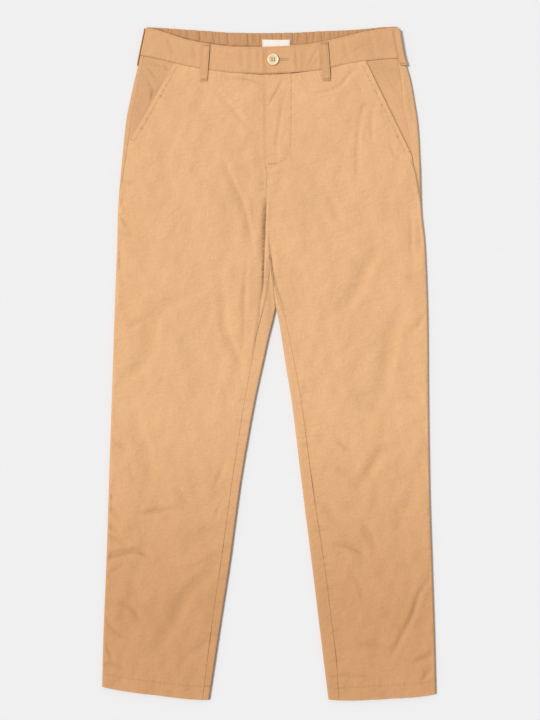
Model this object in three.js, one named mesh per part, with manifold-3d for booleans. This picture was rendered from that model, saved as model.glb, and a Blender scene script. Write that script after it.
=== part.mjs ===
// Chino trousers laid flat on a surface, front side up, closed at the fly.
// Millimetres, +Z up. X runs across the garment (the wearer's left is at +X) and +Y towards the waist.
// The two legs are flat tubes of cloth: the back panels lie on the surface and wrap round the edges,
// the front panels lie on them, and the waistband, fly, pockets and loops are built up in layers.

import * as THREE from 'three';
import Module from 'manifold-3d';
import * as BufferGeometryUtils from 'three/addons/utils/BufferGeometryUtils.js';

// Cloth and seams
const CLOTH = 1.2; // one layer of cotton twill with its finish
const HALF_CLOTH = CLOTH / 2;
const SEAM_GAP = 0.4; // between two panels that meet at a seam
const LAYER_GAP = 0.3; // between two layers that lie on each other
const HEM_HEIGHT = 21; // depth of the turned-up hem
const HEM_EXTRA = 0.8; // the turned-up layer, on the inside of the wall, away from the side edges
const LINING = 1.0; // pocketing, zip tape and label

// Height of the upper layer's middle above the lower layer's middle
const LEG_RISE = 4.0;
const HIP_RISE = 4.5;
const SIDE_RISE = 2.9; // beside the slant pockets, where the pocket facing is the upper layer
const PUFF = 0.35; // air between the layers, in the middle of a leg
const RISE_CHANGE = { from: 250, to: 350 }; // hip rise fades into leg rise over these distances down

// Waistband
const BAND = 2.2; // outer cloth, interlining and inner cloth
const BACK_BAND = 2.1; // the elasticated back band, without its gathers
const BACK_SEAM = { middle: 54, side: 45 }; // distance down of the back waist seam
const GATHERS = 40;
const GATHER_HEIGHT = 0.5;
const FRONT_BAND_FLOOR = { side: 3.5, middle: 4.8 }; // underside of the front band
const LAP_END = 34; // where the hidden end of the right band stops under the left band
const FLY_EDGE_X = -5.5; // edge of the lapped band and of the fly
const BAND_INSET = 0.6; // the bands end this far inside the side edges

// Fly
const FLY = { top: 72, foot: 202, width: 36, underlap: 4, dip: 1.35, rise: 0.3 };
const FLY_SHIELD = { from: -16, to: 32, foot: 206 };
const ZIP_TAPE = { from: 0.5, to: 22, foot: 196 };

// Pockets
const POCKET_UNDERLAP = 25; // the facing runs this far under the front panel
const POCKET_BAG = { width: 118, foot: 262, edge: 9 };
const POCKET_BLEND = 24; // below the mouth, the side edge gains the leg's full thickness over this length

// Small pieces
const BUTTON = { x: 6.5, down: 49, radius: 8.5, height: 3.0, well: 5.2, rim: 0.9, hole: 0.9, holeSpan: 1.7 };
const LABEL = { left: -9.5, right: 31.5, top: 18.5, bottom: 40 };
const LOOP = { width: 11.5, thickness: 1.5, slack: 0.8 };

/** Rows of numbers as objects with named columns. */
function table(columns, rows) {
  const names = columns.split(' ');
  return rows.map((row) => Object.fromEntries(names.map((name, k) => [name, row[k]])));
}

// Plan of the garment: x of each side edge at a distance down from the waist's upper corner
const SIDES = table('down right left', [
  [0, -183, 193],
  [45, -192.3, 200.8],
  [60, -195, 206],
  [80, -199.8, 211.5],
  [110, -206.3, 217],
  [140, -212, 221.5],
  [185, -216.8, 224.6],
  [230, -221, 225.8],
  [270, -224, 227],
  [318, -225.3, 231.8],
  [345, -226.2, 233.5],
  [435, -229.6, 236.4],
  [555, -233.5, 237.4],
  [675, -237.5, 239.1],
  [790, -241.2, 242.6],
  [910, -246, 246.5],
  [1000, -248.3, 248.7],
]);

// Middle line, from the waist over the crotch to the fork, and the legs' inner edges below it
const MIDDLE = table('down x', [
  [40, -5.5],
  [202, -5.5],
  [215, -2.8],
  [225, -3],
  [268, -3.2],
  [318, -0.5],
  [343, 2.2],
  [418, 10.5],
]);
const INNER_EDGES = table('down right left', [
  [418, 10.5, 10.5],
  [435, 7, 14.8],
  [465, -0.5, 19.5],
  [495, -7, 24],
  [555, -20, 33.8],
  [615, -31, 41.4],
  [675, -41, 48.6],
  [735, -49.3, 56],
  [790, -56.5, 63],
  [850, -65.6, 70.4],
  [910, -74.8, 77.6],
  [970, -83.8, 85],
  [1000, -88.5, 88.7],
]);
const CROTCH = 343; // where the four seams meet
const FORK = 418; // where the gap between the legs starts

// Where the seams lie on the flattened tube: arc length from its outermost line, positive on the upper side
const OUT_SEAMS = table('down right left', [
  [40, 6, 10],
  [80, 6.5, 15],
  [110, 7, 18],
  [140, 7, 16],
  [195, 6, 12],
  [235, 3, 5],
  [262, 0, 0],
  [1000, 0, 0],
]);
const IN_SEAMS = table('down right left', [
  [343, 4, 4],
  [380, 14, 7.5],
  [405, 21, 13],
  [435, 24, 16],
  [470, 22, 15],
  [520, 18, 18],
  [800, 17.5, 18],
  [900, 15.5, 18],
  [1000, 12, 19],
]);

// Waist lines: distance down of the front band's top, the back band's top and the front waist seam
const WAIST = table('x frontTop backTop seam', [
  [-194, 0.5, -0.2, 41.5],
  [-175, 2, -0.2, 45],
  [-145, 11, 1.4, 52],
  [-121, 18.5, 3.2, 58],
  [-90, 24.5, 5.2, 63.5],
  [-51, 29, 7.7, 68],
  [-8, 29.5, 8.1, 70],
  [30, 28, 7.6, 68.5],
  [52, 26, 6.8, 66.5],
  [73, 23, 5.6, 64],
  [112, 14, 4, 55.5],
  [143, 6.5, 2, 50.5],
  [173, 2, -0.7, 47.5],
  [205, -0.5, -1.4, 45.5],
]);

// Largest folds of the front panels: soft troughs between two points of the plan
const FOLDS = table('x1 down1 x2 down2 width depth', [
  [-5, 268, -10, 365, 7, 0.9],
  [-10, 365, -24, 470, 8, 0.8],
  [-66, 205, -25, 318, 15, 0.6],
  [-27, 318, -36, 420, 13, 0.5],
  [-200, 515, -130, 400, 26, 0.5],
  [-190, 640, -120, 690, 26, 0.4],
  [155, 336, 88, 428, 20, 0.5],
  [198, 478, 160, 572, 22, 0.5],
  [110, 640, 200, 660, 24, 0.4],
  [228, 832, 192, 912, 11, 0.6],
  [22, 78, -2, 120, 4, 0.5],
]);

const HALVES = {
  right: {
    toInside: 1, // x direction from the side seam to the middle
    waist: { outer: 42.5, inner: 70 },
    hem: { outer: 980.5, inner: 1000, bow: 3 },
    mouth: { top: { x: -142.5, down: 58 }, foot: { x: -209.5, down: 174 } },
  },
  left: {
    toInside: -1,
    waist: { outer: 45.5, inner: 70 },
    hem: { outer: 991, inner: 999.5, bow: 3.5 },
    mouth: { top: { x: 145, down: 52 }, foot: { x: 213, down: 192 } },
  },
};

const lerp = THREE.MathUtils.lerp;
const smooth = THREE.MathUtils.smoothstep;

/** A smooth curve through two columns of a table that never overshoots its rows. */
function curve(rows, from, to) {
  const xs = rows.map((row) => row[from]);
  const ys = rows.map((row) => row[to]);
  const slopes = xs.slice(1).map((x, k) => (ys[k + 1] - ys[k]) / (x - xs[k]));
  const tangents = xs.map((x, k) => {
    if (k === 0) return slopes[0];
    if (k === xs.length - 1) return slopes[k - 1];
    const [before, after] = [slopes[k - 1], slopes[k]];
    return before * after <= 0 ? 0 : (2 * before * after) / (before + after);
  });
  return (at) => {
    const x = THREE.MathUtils.clamp(at, xs[0], xs[xs.length - 1]);
    let k = 0;
    while (k < xs.length - 2 && x > xs[k + 1]) k += 1;
    const span = xs[k + 1] - xs[k];
    const s = (x - xs[k]) / span;
    const [s2, s3] = [s * s, s * s * s];
    return (
      ys[k] * (2 * s3 - 3 * s2 + 1) +
      ys[k + 1] * (3 * s2 - 2 * s3) +
      tangents[k] * span * (s3 - 2 * s2 + s) +
      tangents[k + 1] * span * (s3 - s2)
    );
  };
}

const frontTop = curve(WAIST, 'x', 'frontTop');
const backTop = curve(WAIST, 'x', 'backTop');
const frontSeam = curve(WAIST, 'x', 'seam');
const backSeam = (x) => lerp(BACK_SEAM.middle, BACK_SEAM.side, Math.min(Math.abs(x - FLY_EDGE_X) / 195, 1));
const middleLine = curve(MIDDLE, 'down', 'x');
for (const side of ['right', 'left']) {
  const half = HALVES[side];
  const innerEdge = curve(INNER_EDGES, 'down', side);
  half.outer = curve(SIDES, 'down', side);
  half.inner = (down) => (down < FORK ? middleLine(down) : innerEdge(down));
  half.outSeam = curve(OUT_SEAMS, 'down', side);
  half.inSeam = curve(IN_SEAMS, 'down', side);
}

/** Depth of the folds at a point of the plan. */
function foldDepth(x, down) {
  let depth = 0;
  for (const fold of FOLDS) {
    const along = new THREE.Vector2(fold.x2 - fold.x1, fold.down2 - fold.down1);
    const from = new THREE.Vector2(x - fold.x1, down - fold.down1);
    const length = along.length();
    const share = THREE.MathUtils.clamp(from.dot(along) / (length * length), 0, 1);
    const away = from.clone().addScaledVector(along, -share).length();
    const taper = Math.sin(Math.PI * lerp(0.12, 0.88, share));
    depth += fold.depth * taper * Math.exp(-((away / fold.width) ** 2));
  }
  return depth;
}

const mainRise = (down) => lerp(HIP_RISE, LEG_RISE, smooth(down, RISE_CHANGE.from, RISE_CHANGE.to));

/** One row across half of the garment: its outer and inner points in the plan, and the way between them. */
function rowAcross(half, share) {
  const { waist, hem } = half;
  const outerDown = lerp(waist.outer, hem.outer, share);
  const innerDown = lerp(waist.inner, hem.inner, share);
  const outer = new THREE.Vector2(half.outer(outerDown), outerDown);
  const inner = new THREE.Vector2(half.inner(innerDown), innerDown);
  const width = outer.distanceTo(inner);
  const topFade = (1 - smooth(share, 0, 0.22)) ** 2;
  const hemFade = smooth(share, 0.9, 0.98);
  const topOuter = half.outer(waist.outer);
  const topInner = half.inner(waist.inner);
  return {
    outerDown,
    innerDown,
    width,
    /** The plan point this far from the outer edge, on a row that follows the waist seam and the hem. */
    at(distance) {
      const u = distance / width;
      const point = outer.clone().lerp(inner, u);
      const inside = THREE.MathUtils.clamp(u, 0, 1);
      const waistDown = frontSeam(lerp(topOuter, topInner, inside)) + SEAM_GAP + 0.1;
      const straightDown = lerp(waist.outer, waist.inner, inside);
      const bow = hem.bow * (1 - (2 * inside - 1) ** 4);
      point.y += (waistDown - straightDown) * topFade + bow * hemFade;
      return point;
    },
  };
}

/** Height of the upper layer's middle at a plan point. */
function upperHeight(point, share, rise) {
  const puff = PUFF * Math.sin(Math.PI * THREE.MathUtils.clamp(share, 0, 1));
  return HALF_CLOTH + rise + puff - foldDepth(point.x, point.y);
}

/**
 * A point on the flattened tube. The arc length runs from the tube's outermost line, positive on the upper side.
 * Fold is the edge's half width in the plan, and rise its height.
 */
function tubePoint(half, row, edge, arc, rise, fold) {
  const radius = rise / 2;
  const quarter = (Math.PI / 2) * radius;
  const turn = THREE.MathUtils.clamp(arc / radius, -Math.PI / 2, Math.PI / 2);
  const beyond = Math.max(Math.abs(arc) - quarter, 0);
  const distance = edge.inset + fold * (1 - Math.cos(turn)) + beyond;
  const plan = row.at(edge.isOuter ? distance : row.width - distance);
  if (arc > quarter) {
    const share = distance / row.width;
    return new THREE.Vector3(plan.x, -plan.y, upperHeight(plan, share, rise));
  }
  return new THREE.Vector3(plan.x, -plan.y, HALF_CLOTH + radius + radius * Math.sin(turn));
}

/** Direction of a line of points at one of them, bent at the ends as the next points are. */
function tangent(points, k) {
  const last = points.length - 1;
  if (k > 0 && k < last) return points[k + 1].clone().sub(points[k - 1]);
  const sign = k === 0 ? 1 : -1;
  const step = points[k + sign].clone().sub(points[k]);
  const next = points[k + 2 * sign].clone().sub(points[k + sign]);
  const bend = Math.min(step.length() / next.length(), 1);
  const slope = step.clone().normalize().multiplyScalar(1 + bend / 2).addScaledVector(next.normalize(), -bend / 2);
  return slope.multiplyScalar(sign);
}

/** A closed wall of cloth round a grid of points, with its first side facing along rows × columns. */
function clothWall(grid, first = () => HALF_CLOTH, second = () => HALF_CLOTH) {
  const rows = grid.length;
  const columns = grid[0].length;
  const positions = [];
  const normal = (i, j) => tangent(grid.map((row) => row[j]), i).cross(tangent(grid[i], j)).normalize();
  for (const [sign, depth] of [[1, first], [-1, second]]) {
    for (let i = 0; i < rows; i += 1) {
      for (let j = 0; j < columns; j += 1) {
        positions.push(...grid[i][j].clone().addScaledVector(normal(i, j), sign * depth(i, j)).toArray());
      }
    }
  }
  const index = [];
  const outer = (i, j) => i * columns + j;
  const inner = (i, j) => rows * columns + i * columns + j;
  const quad = (a, b, c, d) => index.push(a, b, c, a, c, d);
  for (let i = 0; i < rows - 1; i += 1) {
    for (let j = 0; j < columns - 1; j += 1) {
      quad(outer(i, j), outer(i + 1, j), outer(i + 1, j + 1), outer(i, j + 1));
      quad(inner(i, j), inner(i, j + 1), inner(i + 1, j + 1), inner(i + 1, j));
    }
    quad(outer(i, 0), inner(i, 0), inner(i + 1, 0), outer(i + 1, 0));
    quad(outer(i, columns - 1), outer(i + 1, columns - 1), inner(i + 1, columns - 1), inner(i, columns - 1));
  }
  for (let j = 0; j < columns - 1; j += 1) {
    quad(outer(0, j), outer(0, j + 1), inner(0, j + 1), inner(0, j));
    quad(outer(rows - 1, j), inner(rows - 1, j), inner(rows - 1, j + 1), outer(rows - 1, j + 1));
  }
  const geometry = new THREE.BufferGeometry();
  geometry.setAttribute('position', new THREE.Float32BufferAttribute(positions, 3));
  geometry.setIndex(index);
  geometry.computeVertexNormals();
  return geometry;
}

/** Evenly spread numbers from a to b, both included. */
const spread = (a, b, count) => Array.from({ length: count }, (_, k) => lerp(a, b, k / (count - 1)));

/** Shares down a leg: close rows to below the fork, wider rows along the leg, and rows that bound the hem. */
function legShares(half, hipStep, legStep) {
  const length = half.hem.inner - half.waist.inner;
  const hem = 1 - HEM_HEIGHT / length;
  const fork = (FORK + 42 - half.waist.inner) / length;
  const hip = spread(0, fork, Math.round((fork * length) / hipStep) + 1);
  const leg = spread(fork, hem, Math.round(((hem - fork) * length) / legStep) + 1).slice(1);
  return [...hip, ...leg, hem + 1.5 / length, 1];
}

/** Half width of the tube's folded inner edge: none above the crotch, where the halves are sewn to each other. */
const innerFold = (down) => lerp(0.05, LEG_RISE / 2, smooth(down, CROTCH - 15, FORK));

/** Distance that the inner edge keeps from the middle line. */
const innerInset = (down) => lerp(SEAM_GAP / 2, HALF_CLOTH + SEAM_GAP / 2, smooth(down, CROTCH - 75, CROTCH - 50));

/** Rise at the side edge, lower beside the pocket facing. */
const sideRise = (half, down) =>
  lerp(SIDE_RISE, mainRise(down), smooth(down, half.mouth.foot.down, half.mouth.foot.down + POCKET_BLEND));

/** x of the pocket mouth, a straight line from the waist seam to the side seam. */
function mouthX(half, down) {
  const { top, foot } = half.mouth;
  return lerp(top.x, foot.x, Math.min((down - top.down) / (foot.down - top.down), 1));
}

/** Distance along a row from the side edge to the pocket mouth. */
function mouthDistance(half, row) {
  let distance = 0.3 * row.width;
  for (let round = 0; round < 8; round += 1) {
    const plan = row.at(distance);
    distance += half.toInside * (mouthX(half, plan.y) - plan.x);
  }
  return distance;
}

/** Extra height of the front panels round the fly: the left front laps over, the right front goes under. */
function flyStep(half, point) {
  const length = 1 - smooth(point.y, FLY.foot + 2, FLY.foot + 26);
  if (half.toInside > 0) return -FLY.dip * length * smooth(point.x, FLY_EDGE_X - 20, FLY_EDGE_X - 1);
  return FLY.rise * length * (1 - smooth(point.x, FLY_EDGE_X + FLY.width - 5, FLY_EDGE_X + FLY.width + 5));
}

/** Distance of a front panel's inner end from the middle line or the leg's inner edge. */
function frontInnerEnd(half, row) {
  const down = row.innerDown;
  const retreat = 2.05 * smooth(down, CROTCH - 45, CROTCH - 8);
  if (down >= CROTCH) {
    const inseam = innerFold(down) + half.inSeam(down) - (Math.PI / 2) * (LEG_RISE / 2);
    return Math.max(inseam + innerInset(down), retreat) + SEAM_GAP / 2;
  }
  const underlap = half.toInside > 0 ? FLY.underlap * (1 - smooth(down, FLY.foot - 26, FLY.foot - 2)) : 0;
  return SEAM_GAP / 2 + retreat - underlap;
}

/** Depth of a panel's inner side: the turned-up hem thickens its last two rows between the outer and inner folds. */
function hemmed(half, grid, outerColumns, innerColumns) {
  const [rows, columns] = [grid.length, grid[0].length];
  return (i, j) => {
    const fromOuter = half.toInside > 0 ? j : columns - 1 - j;
    const isFlat = fromOuter >= outerColumns && fromOuter < columns - innerColumns;
    return HALF_CLOTH + (isFlat && i > rows - 3 ? HEM_EXTRA : 0);
  };
}

/** Front panel: from the side seam, or the pocket mouth, across to the middle seam, or the inseam. */
function frontPanel(half, shares) {
  const grid = shares.map((share) => {
    const row = rowAcross(half, share);
    const rise = mainRise(row.outerDown);
    const edge = { isOuter: true, inset: HALF_CLOTH };
    const arcMinusDistance = (Math.PI / 2 - 1) * (rise / 2);
    const backArcMinusDistance = (Math.PI / 2 - 1) * (sideRise(half, row.outerDown) / 2);
    const seamArc = half.outSeam(row.outerDown) + SEAM_GAP / 2 + arcMinusDistance - backArcMinusDistance;
    const mouthArc = mouthDistance(half, row) - edge.inset + arcMinusDistance;
    const isMouth = row.outerDown < half.mouth.foot.down;
    const firstArc = isMouth ? Math.max(mouthArc, seamArc) : seamArc;
    const points = [0, 0.5, 1].map((turn) =>
      tubePoint(half, row, edge, firstArc + turn * (Math.PI / 2) * (rise / 2), rise, rise / 2));
    const start = Math.max(firstArc, 0) + edge.inset + rise / 2 + 2;
    const end = row.width - frontInnerEnd(half, row);
    for (const along of spread(0, 1, 9)) {
      const plan = row.at(lerp(start, end, along ** 0.85));
      const share = lerp(start, end, along) / row.width;
      const height = upperHeight(plan, share, mainRise(lerp(row.outerDown, row.innerDown, share)));
      points.push(new THREE.Vector3(plan.x, -plan.y, height + flyStep(half, plan)));
    }
    return half.toInside > 0 ? points : points.reverse();
  });
  return clothWall(grid, undefined, hemmed(half, grid, 3, 1));
}

/** Back panel: from the side seam round the edge, flat on the surface, and round the inner edge to the inseam. */
function backPanel(half, shares) {
  const grid = shares.map((share, i) => {
    const row = rowAcross(half, share);
    const outerRise = sideRise(half, row.outerDown);
    const innerRise = mainRise(row.innerDown);
    const outerEdge = { isOuter: true, inset: HALF_CLOTH };
    const innerEdge = { isOuter: false, inset: innerInset(row.innerDown) };
    const points = [];
    const outerQuarter = (Math.PI / 2) * (outerRise / 2);
    const outerStart = half.outSeam(row.outerDown) - SEAM_GAP / 2;
    points.push(tubePoint(half, row, outerEdge, outerStart, outerRise, outerRise / 2));
    [1, 0.5, 0, -0.5, -1].forEach((turn, k) => {
      const arc = Math.min(turn * outerQuarter, outerStart - 0.3 * (k + 1));
      points.push(tubePoint(half, row, outerEdge, arc, outerRise, outerRise / 2));
    });
    for (const along of [0.12, 0.5, 0.88]) {
      const plan = row.at(along * row.width);
      points.push(new THREE.Vector3(plan.x, -plan.y, HALF_CLOTH));
    }
    const fold = innerFold(row.innerDown);
    const innerQuarter = (Math.PI / 2) * (innerRise / 2);
    const climb = lerp(-innerQuarter, 0.35 * innerQuarter, smooth(row.innerDown, CROTCH - 50, CROTCH - 8));
    const innerEnd = row.innerDown < CROTCH ? climb : half.inSeam(row.innerDown) - SEAM_GAP / 2;
    [-1, -0.5, 0, 0.5, 1].forEach((turn, k) => {
      const arc = Math.min(turn * innerQuarter, innerEnd - 0.3 * (5 - k));
      points.push(tubePoint(half, row, innerEdge, arc, innerRise, fold));
    });
    points.push(tubePoint(half, row, innerEdge, innerEnd, innerRise, fold));
    if (i === 0) points.forEach((point) => followBackWaist(point));
    return half.toInside > 0 ? points : points.reverse();
  });
  return clothWall(grid, hemmed(half, grid, 6, 6));
}

/** Moves a point of the back panels' first row to the back waist seam, or on the upper side to the front one. */
function followBackWaist(point) {
  const [front, back] = [frontSeam(point.x), backSeam(point.x)];
  const middle = HALF_CLOTH + SIDE_RISE / 2;
  const down = point.z > middle + 0.3 ? front : back;
  point.y = -((Math.abs(point.z - middle) < 0.3 ? Math.max(front, back) : down) + SEAM_GAP);
}

/** Pocket facing: the upper layer beside the slant mouth, running on under the front panel. */
function pocketFacing(half) {
  const { foot } = half.mouth;
  const grid = spread(0, 1, 10).map((share) => {
    const down = lerp(half.waist.outer, foot.down, share);
    const seamX = half.outer(down) + half.toInside *
      (HALF_CLOTH + half.outSeam(down) + 1.5 * SEAM_GAP - (Math.PI / 2 - 1) * (SIDE_RISE / 2));
    const innerX = mouthX(half, down) + half.toInside * POCKET_UNDERLAP;
    const points = spread(0, 1, 6).map((along) => {
      const x = lerp(seamX, innerX, along);
      const top = (frontSeam(x) + SEAM_GAP - half.waist.outer) * (1 - share) ** 2;
      return new THREE.Vector3(x, -(down + top), HALF_CLOTH + SIDE_RISE);
    });
    return half.toInside > 0 ? points : points.reverse();
  });
  return clothWall(grid);
}

/** A flat piece of thin cloth between two curves of x, at one height. */
function flatPiece(downs, leftX, rightX, underside, thickness, columns = 4) {
  const grid = downs.map((down) =>
    spread(leftX(down), rightX(down), columns).map((x) => new THREE.Vector3(x, -down, underside + thickness / 2)));
  return clothWall(grid, () => thickness / 2, () => thickness / 2);
}

/** Pocket bag: hidden between the layers, hanging from the waist seam and rounded at its foot. */
function pocketBag(half) {
  const start = frontSeam(half.mouth.top.x) + 8;
  const side = (down) => half.outer(down) + half.toInside * POCKET_BAG.edge;
  const inner = (down) => {
    const round = smooth(down, POCKET_BAG.foot - 60, POCKET_BAG.foot);
    return side(down) + half.toInside * POCKET_BAG.width * (1 - 0.55 * round * round);
  };
  const downs = spread(start, POCKET_BAG.foot, 10);
  const underside = CLOTH + LAYER_GAP;
  return half.toInside > 0
    ? flatPiece(downs, side, inner, underside, LINING)
    : flatPiece(downs, inner, side, underside, LINING);
}

/** Underside of the front waistband at a place across the waist. */
function bandFloor(x) {
  const middle = smooth(x, -110, -30) * (1 - smooth(x, 50, 125));
  return lerp(FRONT_BAND_FLOOR.side, FRONT_BAND_FLOOR.middle, middle);
}

/** Extra height of the left band where it lies on the right band's hidden end. */
const lapLift = (x) => (BAND + LAYER_GAP) * (1 - smooth(x, LAP_END + 2, LAP_END + 24));

/** One half of the front waistband, from its end at the fly to its side seam. */
function frontBand(half, start, lift) {
  const grid = spread(0, 1, 4).map((share) => {
    const points = spread(0, 1, 20).map((along) => {
      let x = lerp(start, half.outer(20), along);
      const sideDown = lerp(frontTop(x), frontSeam(x), share);
      x = lerp(start, half.outer(sideDown) + half.toInside * BAND_INSET, along);
      const down = lerp(frontTop(x), frontSeam(x), share);
      return new THREE.Vector3(x, -down, bandFloor(x) + BAND / 2 + lift(x));
    });
    return half.toInside > 0 ? points.reverse() : points;
  });
  return clothWall(grid, () => BAND / 2, () => BAND / 2);
}

/** Elasticated back waistband: flat underneath, gathered on its inner face, which shows above the front band. */
function backBand() {
  const valleys = spread(0, 1, GATHERS + 1).map((u) => u + 0.004 * Math.sin(19 * u) + 0.002 * Math.sin(53 * u));
  const places = valleys.slice(0, -1).flatMap((from, k) => [
    { u: from, height: 0 },
    { u: lerp(from, valleys[k + 1], 0.35), height: 1 },
    { u: lerp(from, valleys[k + 1], 0.65), height: 0.9 },
  ]);
  places.push({ u: 1, height: 0 });
  const [right, left] = [HALVES.right, HALVES.left];
  const floor = BACK_BAND / 2;
  const grid = [0, 0.5, 1].map((share) =>
    places.map(({ u, height }) => {
      const down = lerp(0, BACK_SEAM.side, share);
      const along = (u - valleys[0]) / (1 - valleys[0]);
      const x = lerp(right.outer(down) + 3 * BAND_INSET, left.outer(down) - 3 * BAND_INSET, along);
      const top = backTop(x) + 0.5 * (1 - height);
      return new THREE.Vector3(x, -lerp(top, backSeam(x), share), floor);
    }));
  return clothWall(grid, (i, j) => floor + GATHER_HEIGHT * places[j].height, () => floor);
}

/** A strip along a path of points, with its width across X and its ends square. */
function strip(path, width, thickness) {
  const grid = path.map((point) =>
    [-0.5, 0, 0.5].map((across) => new THREE.Vector3(point.x + across * width, point.y, point.z)));
  return clothWall(grid, () => thickness / 2, () => thickness / 2);
}

/** Belt loop on the front: from the band's top edge over the waist seam, with a little slack for the belt. */
function frontLoop(topX, footX, footDown, panelTop) {
  const bandTop = bandFloor(topX) + BAND;
  const lift = LAYER_GAP + 0.1 + LOOP.thickness / 2;
  const topDown = frontTop(topX) + 0.5;
  const path = spread(0, 1, 9).map((share) => {
    const down = lerp(topDown, footDown, share);
    const onPanel = smooth(share, 0.72, 0.84);
    const slack = LOOP.slack * Math.sin(Math.PI * share);
    const height = Math.max(lerp(bandTop, panelTop, onPanel), share < 0.86 ? panelTop : 0) + lift + slack;
    return new THREE.Vector3(lerp(topX, footX, share), -down, height);
  });
  return strip(path, LOOP.width, LOOP.thickness);
}

/** Left side loop: lies on the band at the side and turns down over its edge. */
function sideLoopOnTop() {
  const half = HALVES.left;
  const above = LAYER_GAP + LOOP.thickness / 2;
  const top = FRONT_BAND_FLOOR.side + BAND + above;
  const grid = spread(3.5, 57, 7).map((down, k) => {
    const edge = half.outer(down);
    const slack = LOOP.slack * Math.sin((Math.PI * k) / 6);
    return [
      new THREE.Vector3(edge - 9.5, -down, top + slack),
      new THREE.Vector3(edge - 4.5, -down, top + slack),
      new THREE.Vector3(edge + 0.1, -down, top - 0.1 + slack),
      new THREE.Vector3(edge + above, -down, top - 1.5),
      new THREE.Vector3(edge + above, -down, 1.6),
    ];
  });
  return clothWall(grid, () => LOOP.thickness / 2, () => LOOP.thickness / 2);
}

/** Right side loop: lies against the folded edge, seen edge on from the front. */
function sideLoopOnEdge() {
  const half = HALVES.right;
  const grid = spread(1.5, 57, 6).map((down) => {
    const x = half.outer(down) - LAYER_GAP - LOOP.thickness / 2;
    return [0.3, 2.8, 5.4].map((z) => new THREE.Vector3(x, -down, z));
  });
  return clothWall(grid, () => LOOP.thickness / 2, () => LOOP.thickness / 2);
}

/** A closed mesh as a manifold, and back. */
function toManifold(wasm, geometry) {
  const bare = geometry.clone();
  bare.deleteAttribute('normal');
  bare.deleteAttribute('uv');
  const merged = BufferGeometryUtils.mergeVertices(bare, 1e-4);
  return new wasm.Manifold(new wasm.Mesh({
    numProp: 3,
    vertProperties: merged.attributes.position.array,
    triVerts: new Uint32Array(merged.index.array),
  }));
}

function fromManifold(solid) {
  const mesh = solid.getMesh();
  const geometry = new THREE.BufferGeometry();
  geometry.setAttribute('position', new THREE.BufferAttribute(mesh.vertProperties, 3));
  geometry.setIndex(new THREE.BufferAttribute(mesh.triVerts, 1));
  geometry.computeVertexNormals();
  return geometry;
}

/** Four-hole button: a turned disc with a raised rim and a well, drilled through. */
async function buttonGeometry() {
  const wasm = await Module();
  wasm.setup();
  const { radius, height, well, rim, hole, holeSpan } = BUTTON;
  const profile = [
    [0, 0], [radius * 0.72, 0], [radius * 0.96, height * 0.3], [radius, height * 0.6], [radius * 0.94, height * 0.9],
    [radius * 0.84, height], [well + 0.8, height * 0.94], [well, height - rim], [0, height - rim],
  ].map(([r, z]) => new THREE.Vector2(r, z));
  let solid = toManifold(wasm, new THREE.LatheGeometry(profile, 28).rotateX(Math.PI / 2));
  for (const [sx, sy] of [[1, 1], [1, -1], [-1, 1], [-1, -1]]) {
    const drill = new THREE.CylinderGeometry(hole, hole, height * 3, 8).rotateX(Math.PI / 2);
    drill.translate(sx * holeSpan, sy * holeSpan, height / 2);
    solid = solid.subtract(toManifold(wasm, drill));
  }
  return fromManifold(solid);
}

function material(colour, roughness) {
  return new THREE.MeshStandardMaterial({ color: new THREE.Color(colour), roughness, metalness: 0 });
}

const twill = () => material('#e0ad7d', 0.85);
const bandTwill = () => material('#dda97a', 0.85);
const pocketing = () => material('#dcb48c', 0.9);

const garment = new THREE.Group();

function add(name, geometry, finish) {
  const mesh = new THREE.Mesh(geometry, finish);
  mesh.name = name;
  garment.add(mesh);
  return mesh;
}

for (const side of ['right', 'left']) {
  const half = HALVES[side];
  const shares = legShares(half, 20, 36);
  add(`front_${side}`, frontPanel(half, shares), twill());
  add(`back_${side}`, backPanel(half, shares), twill());
  add(`pocket_facing_${side}`, pocketFacing(half), twill());
  add(`pocket_bag_${side}`, pocketBag(half), pocketing());
}

add('fly_shield', flatPiece(
  spread(FLY.top + 2, FLY_SHIELD.foot, 5), () => FLY_SHIELD.from, () => FLY_SHIELD.to, CLOTH + LAYER_GAP, LINING,
), twill());
add('zip_tape', flatPiece(
  spread(FLY.top + 2, ZIP_TAPE.foot, 5), () => ZIP_TAPE.from, () => ZIP_TAPE.to,
  CLOTH + LINING + 2 * LAYER_GAP, LINING,
), pocketing());

add('waistband_front_right', frontBand(HALVES.right, LAP_END, () => 0), bandTwill());
add('waistband_front_left', frontBand(HALVES.left, FLY_EDGE_X, lapLift), bandTwill());
add('waistband_back', backBand(), bandTwill());

const hipTop = CLOTH + HIP_RISE + PUFF;
add('belt_loop_front_right', frontLoop(-93, -97, 80, hipTop), twill());
add('belt_loop_front_left', frontLoop(82, 86, 79.5, hipTop), twill());
add('belt_loop_side_left', sideLoopOnTop(), twill());
add('belt_loop_side_right', sideLoopOnEdge(), twill());

const labelFloor = BACK_BAND + GATHER_HEIGHT + LAYER_GAP;
add('label', flatPiece(
  spread(LABEL.top, LABEL.bottom, 3), () => LABEL.left, () => LABEL.right, labelFloor, LINING, 3,
), material('#f6efde', 0.8));

const button = add('button', await buttonGeometry(), material('#ecdcbc', 0.45));
const bandTopAtButton = bandFloor(BUTTON.x) + BAND + lapLift(BUTTON.x);
button.position.set(BUTTON.x, -BUTTON.down, bandTopAtButton + LAYER_GAP);

// The origin is under the middle of the garment, on the surface that it lies on
const box = new THREE.Box3().setFromObject(garment);
const centre = box.getCenter(new THREE.Vector3());
garment.position.set(-centre.x, -centre.y, -box.min.z);

export default garment;
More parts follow.
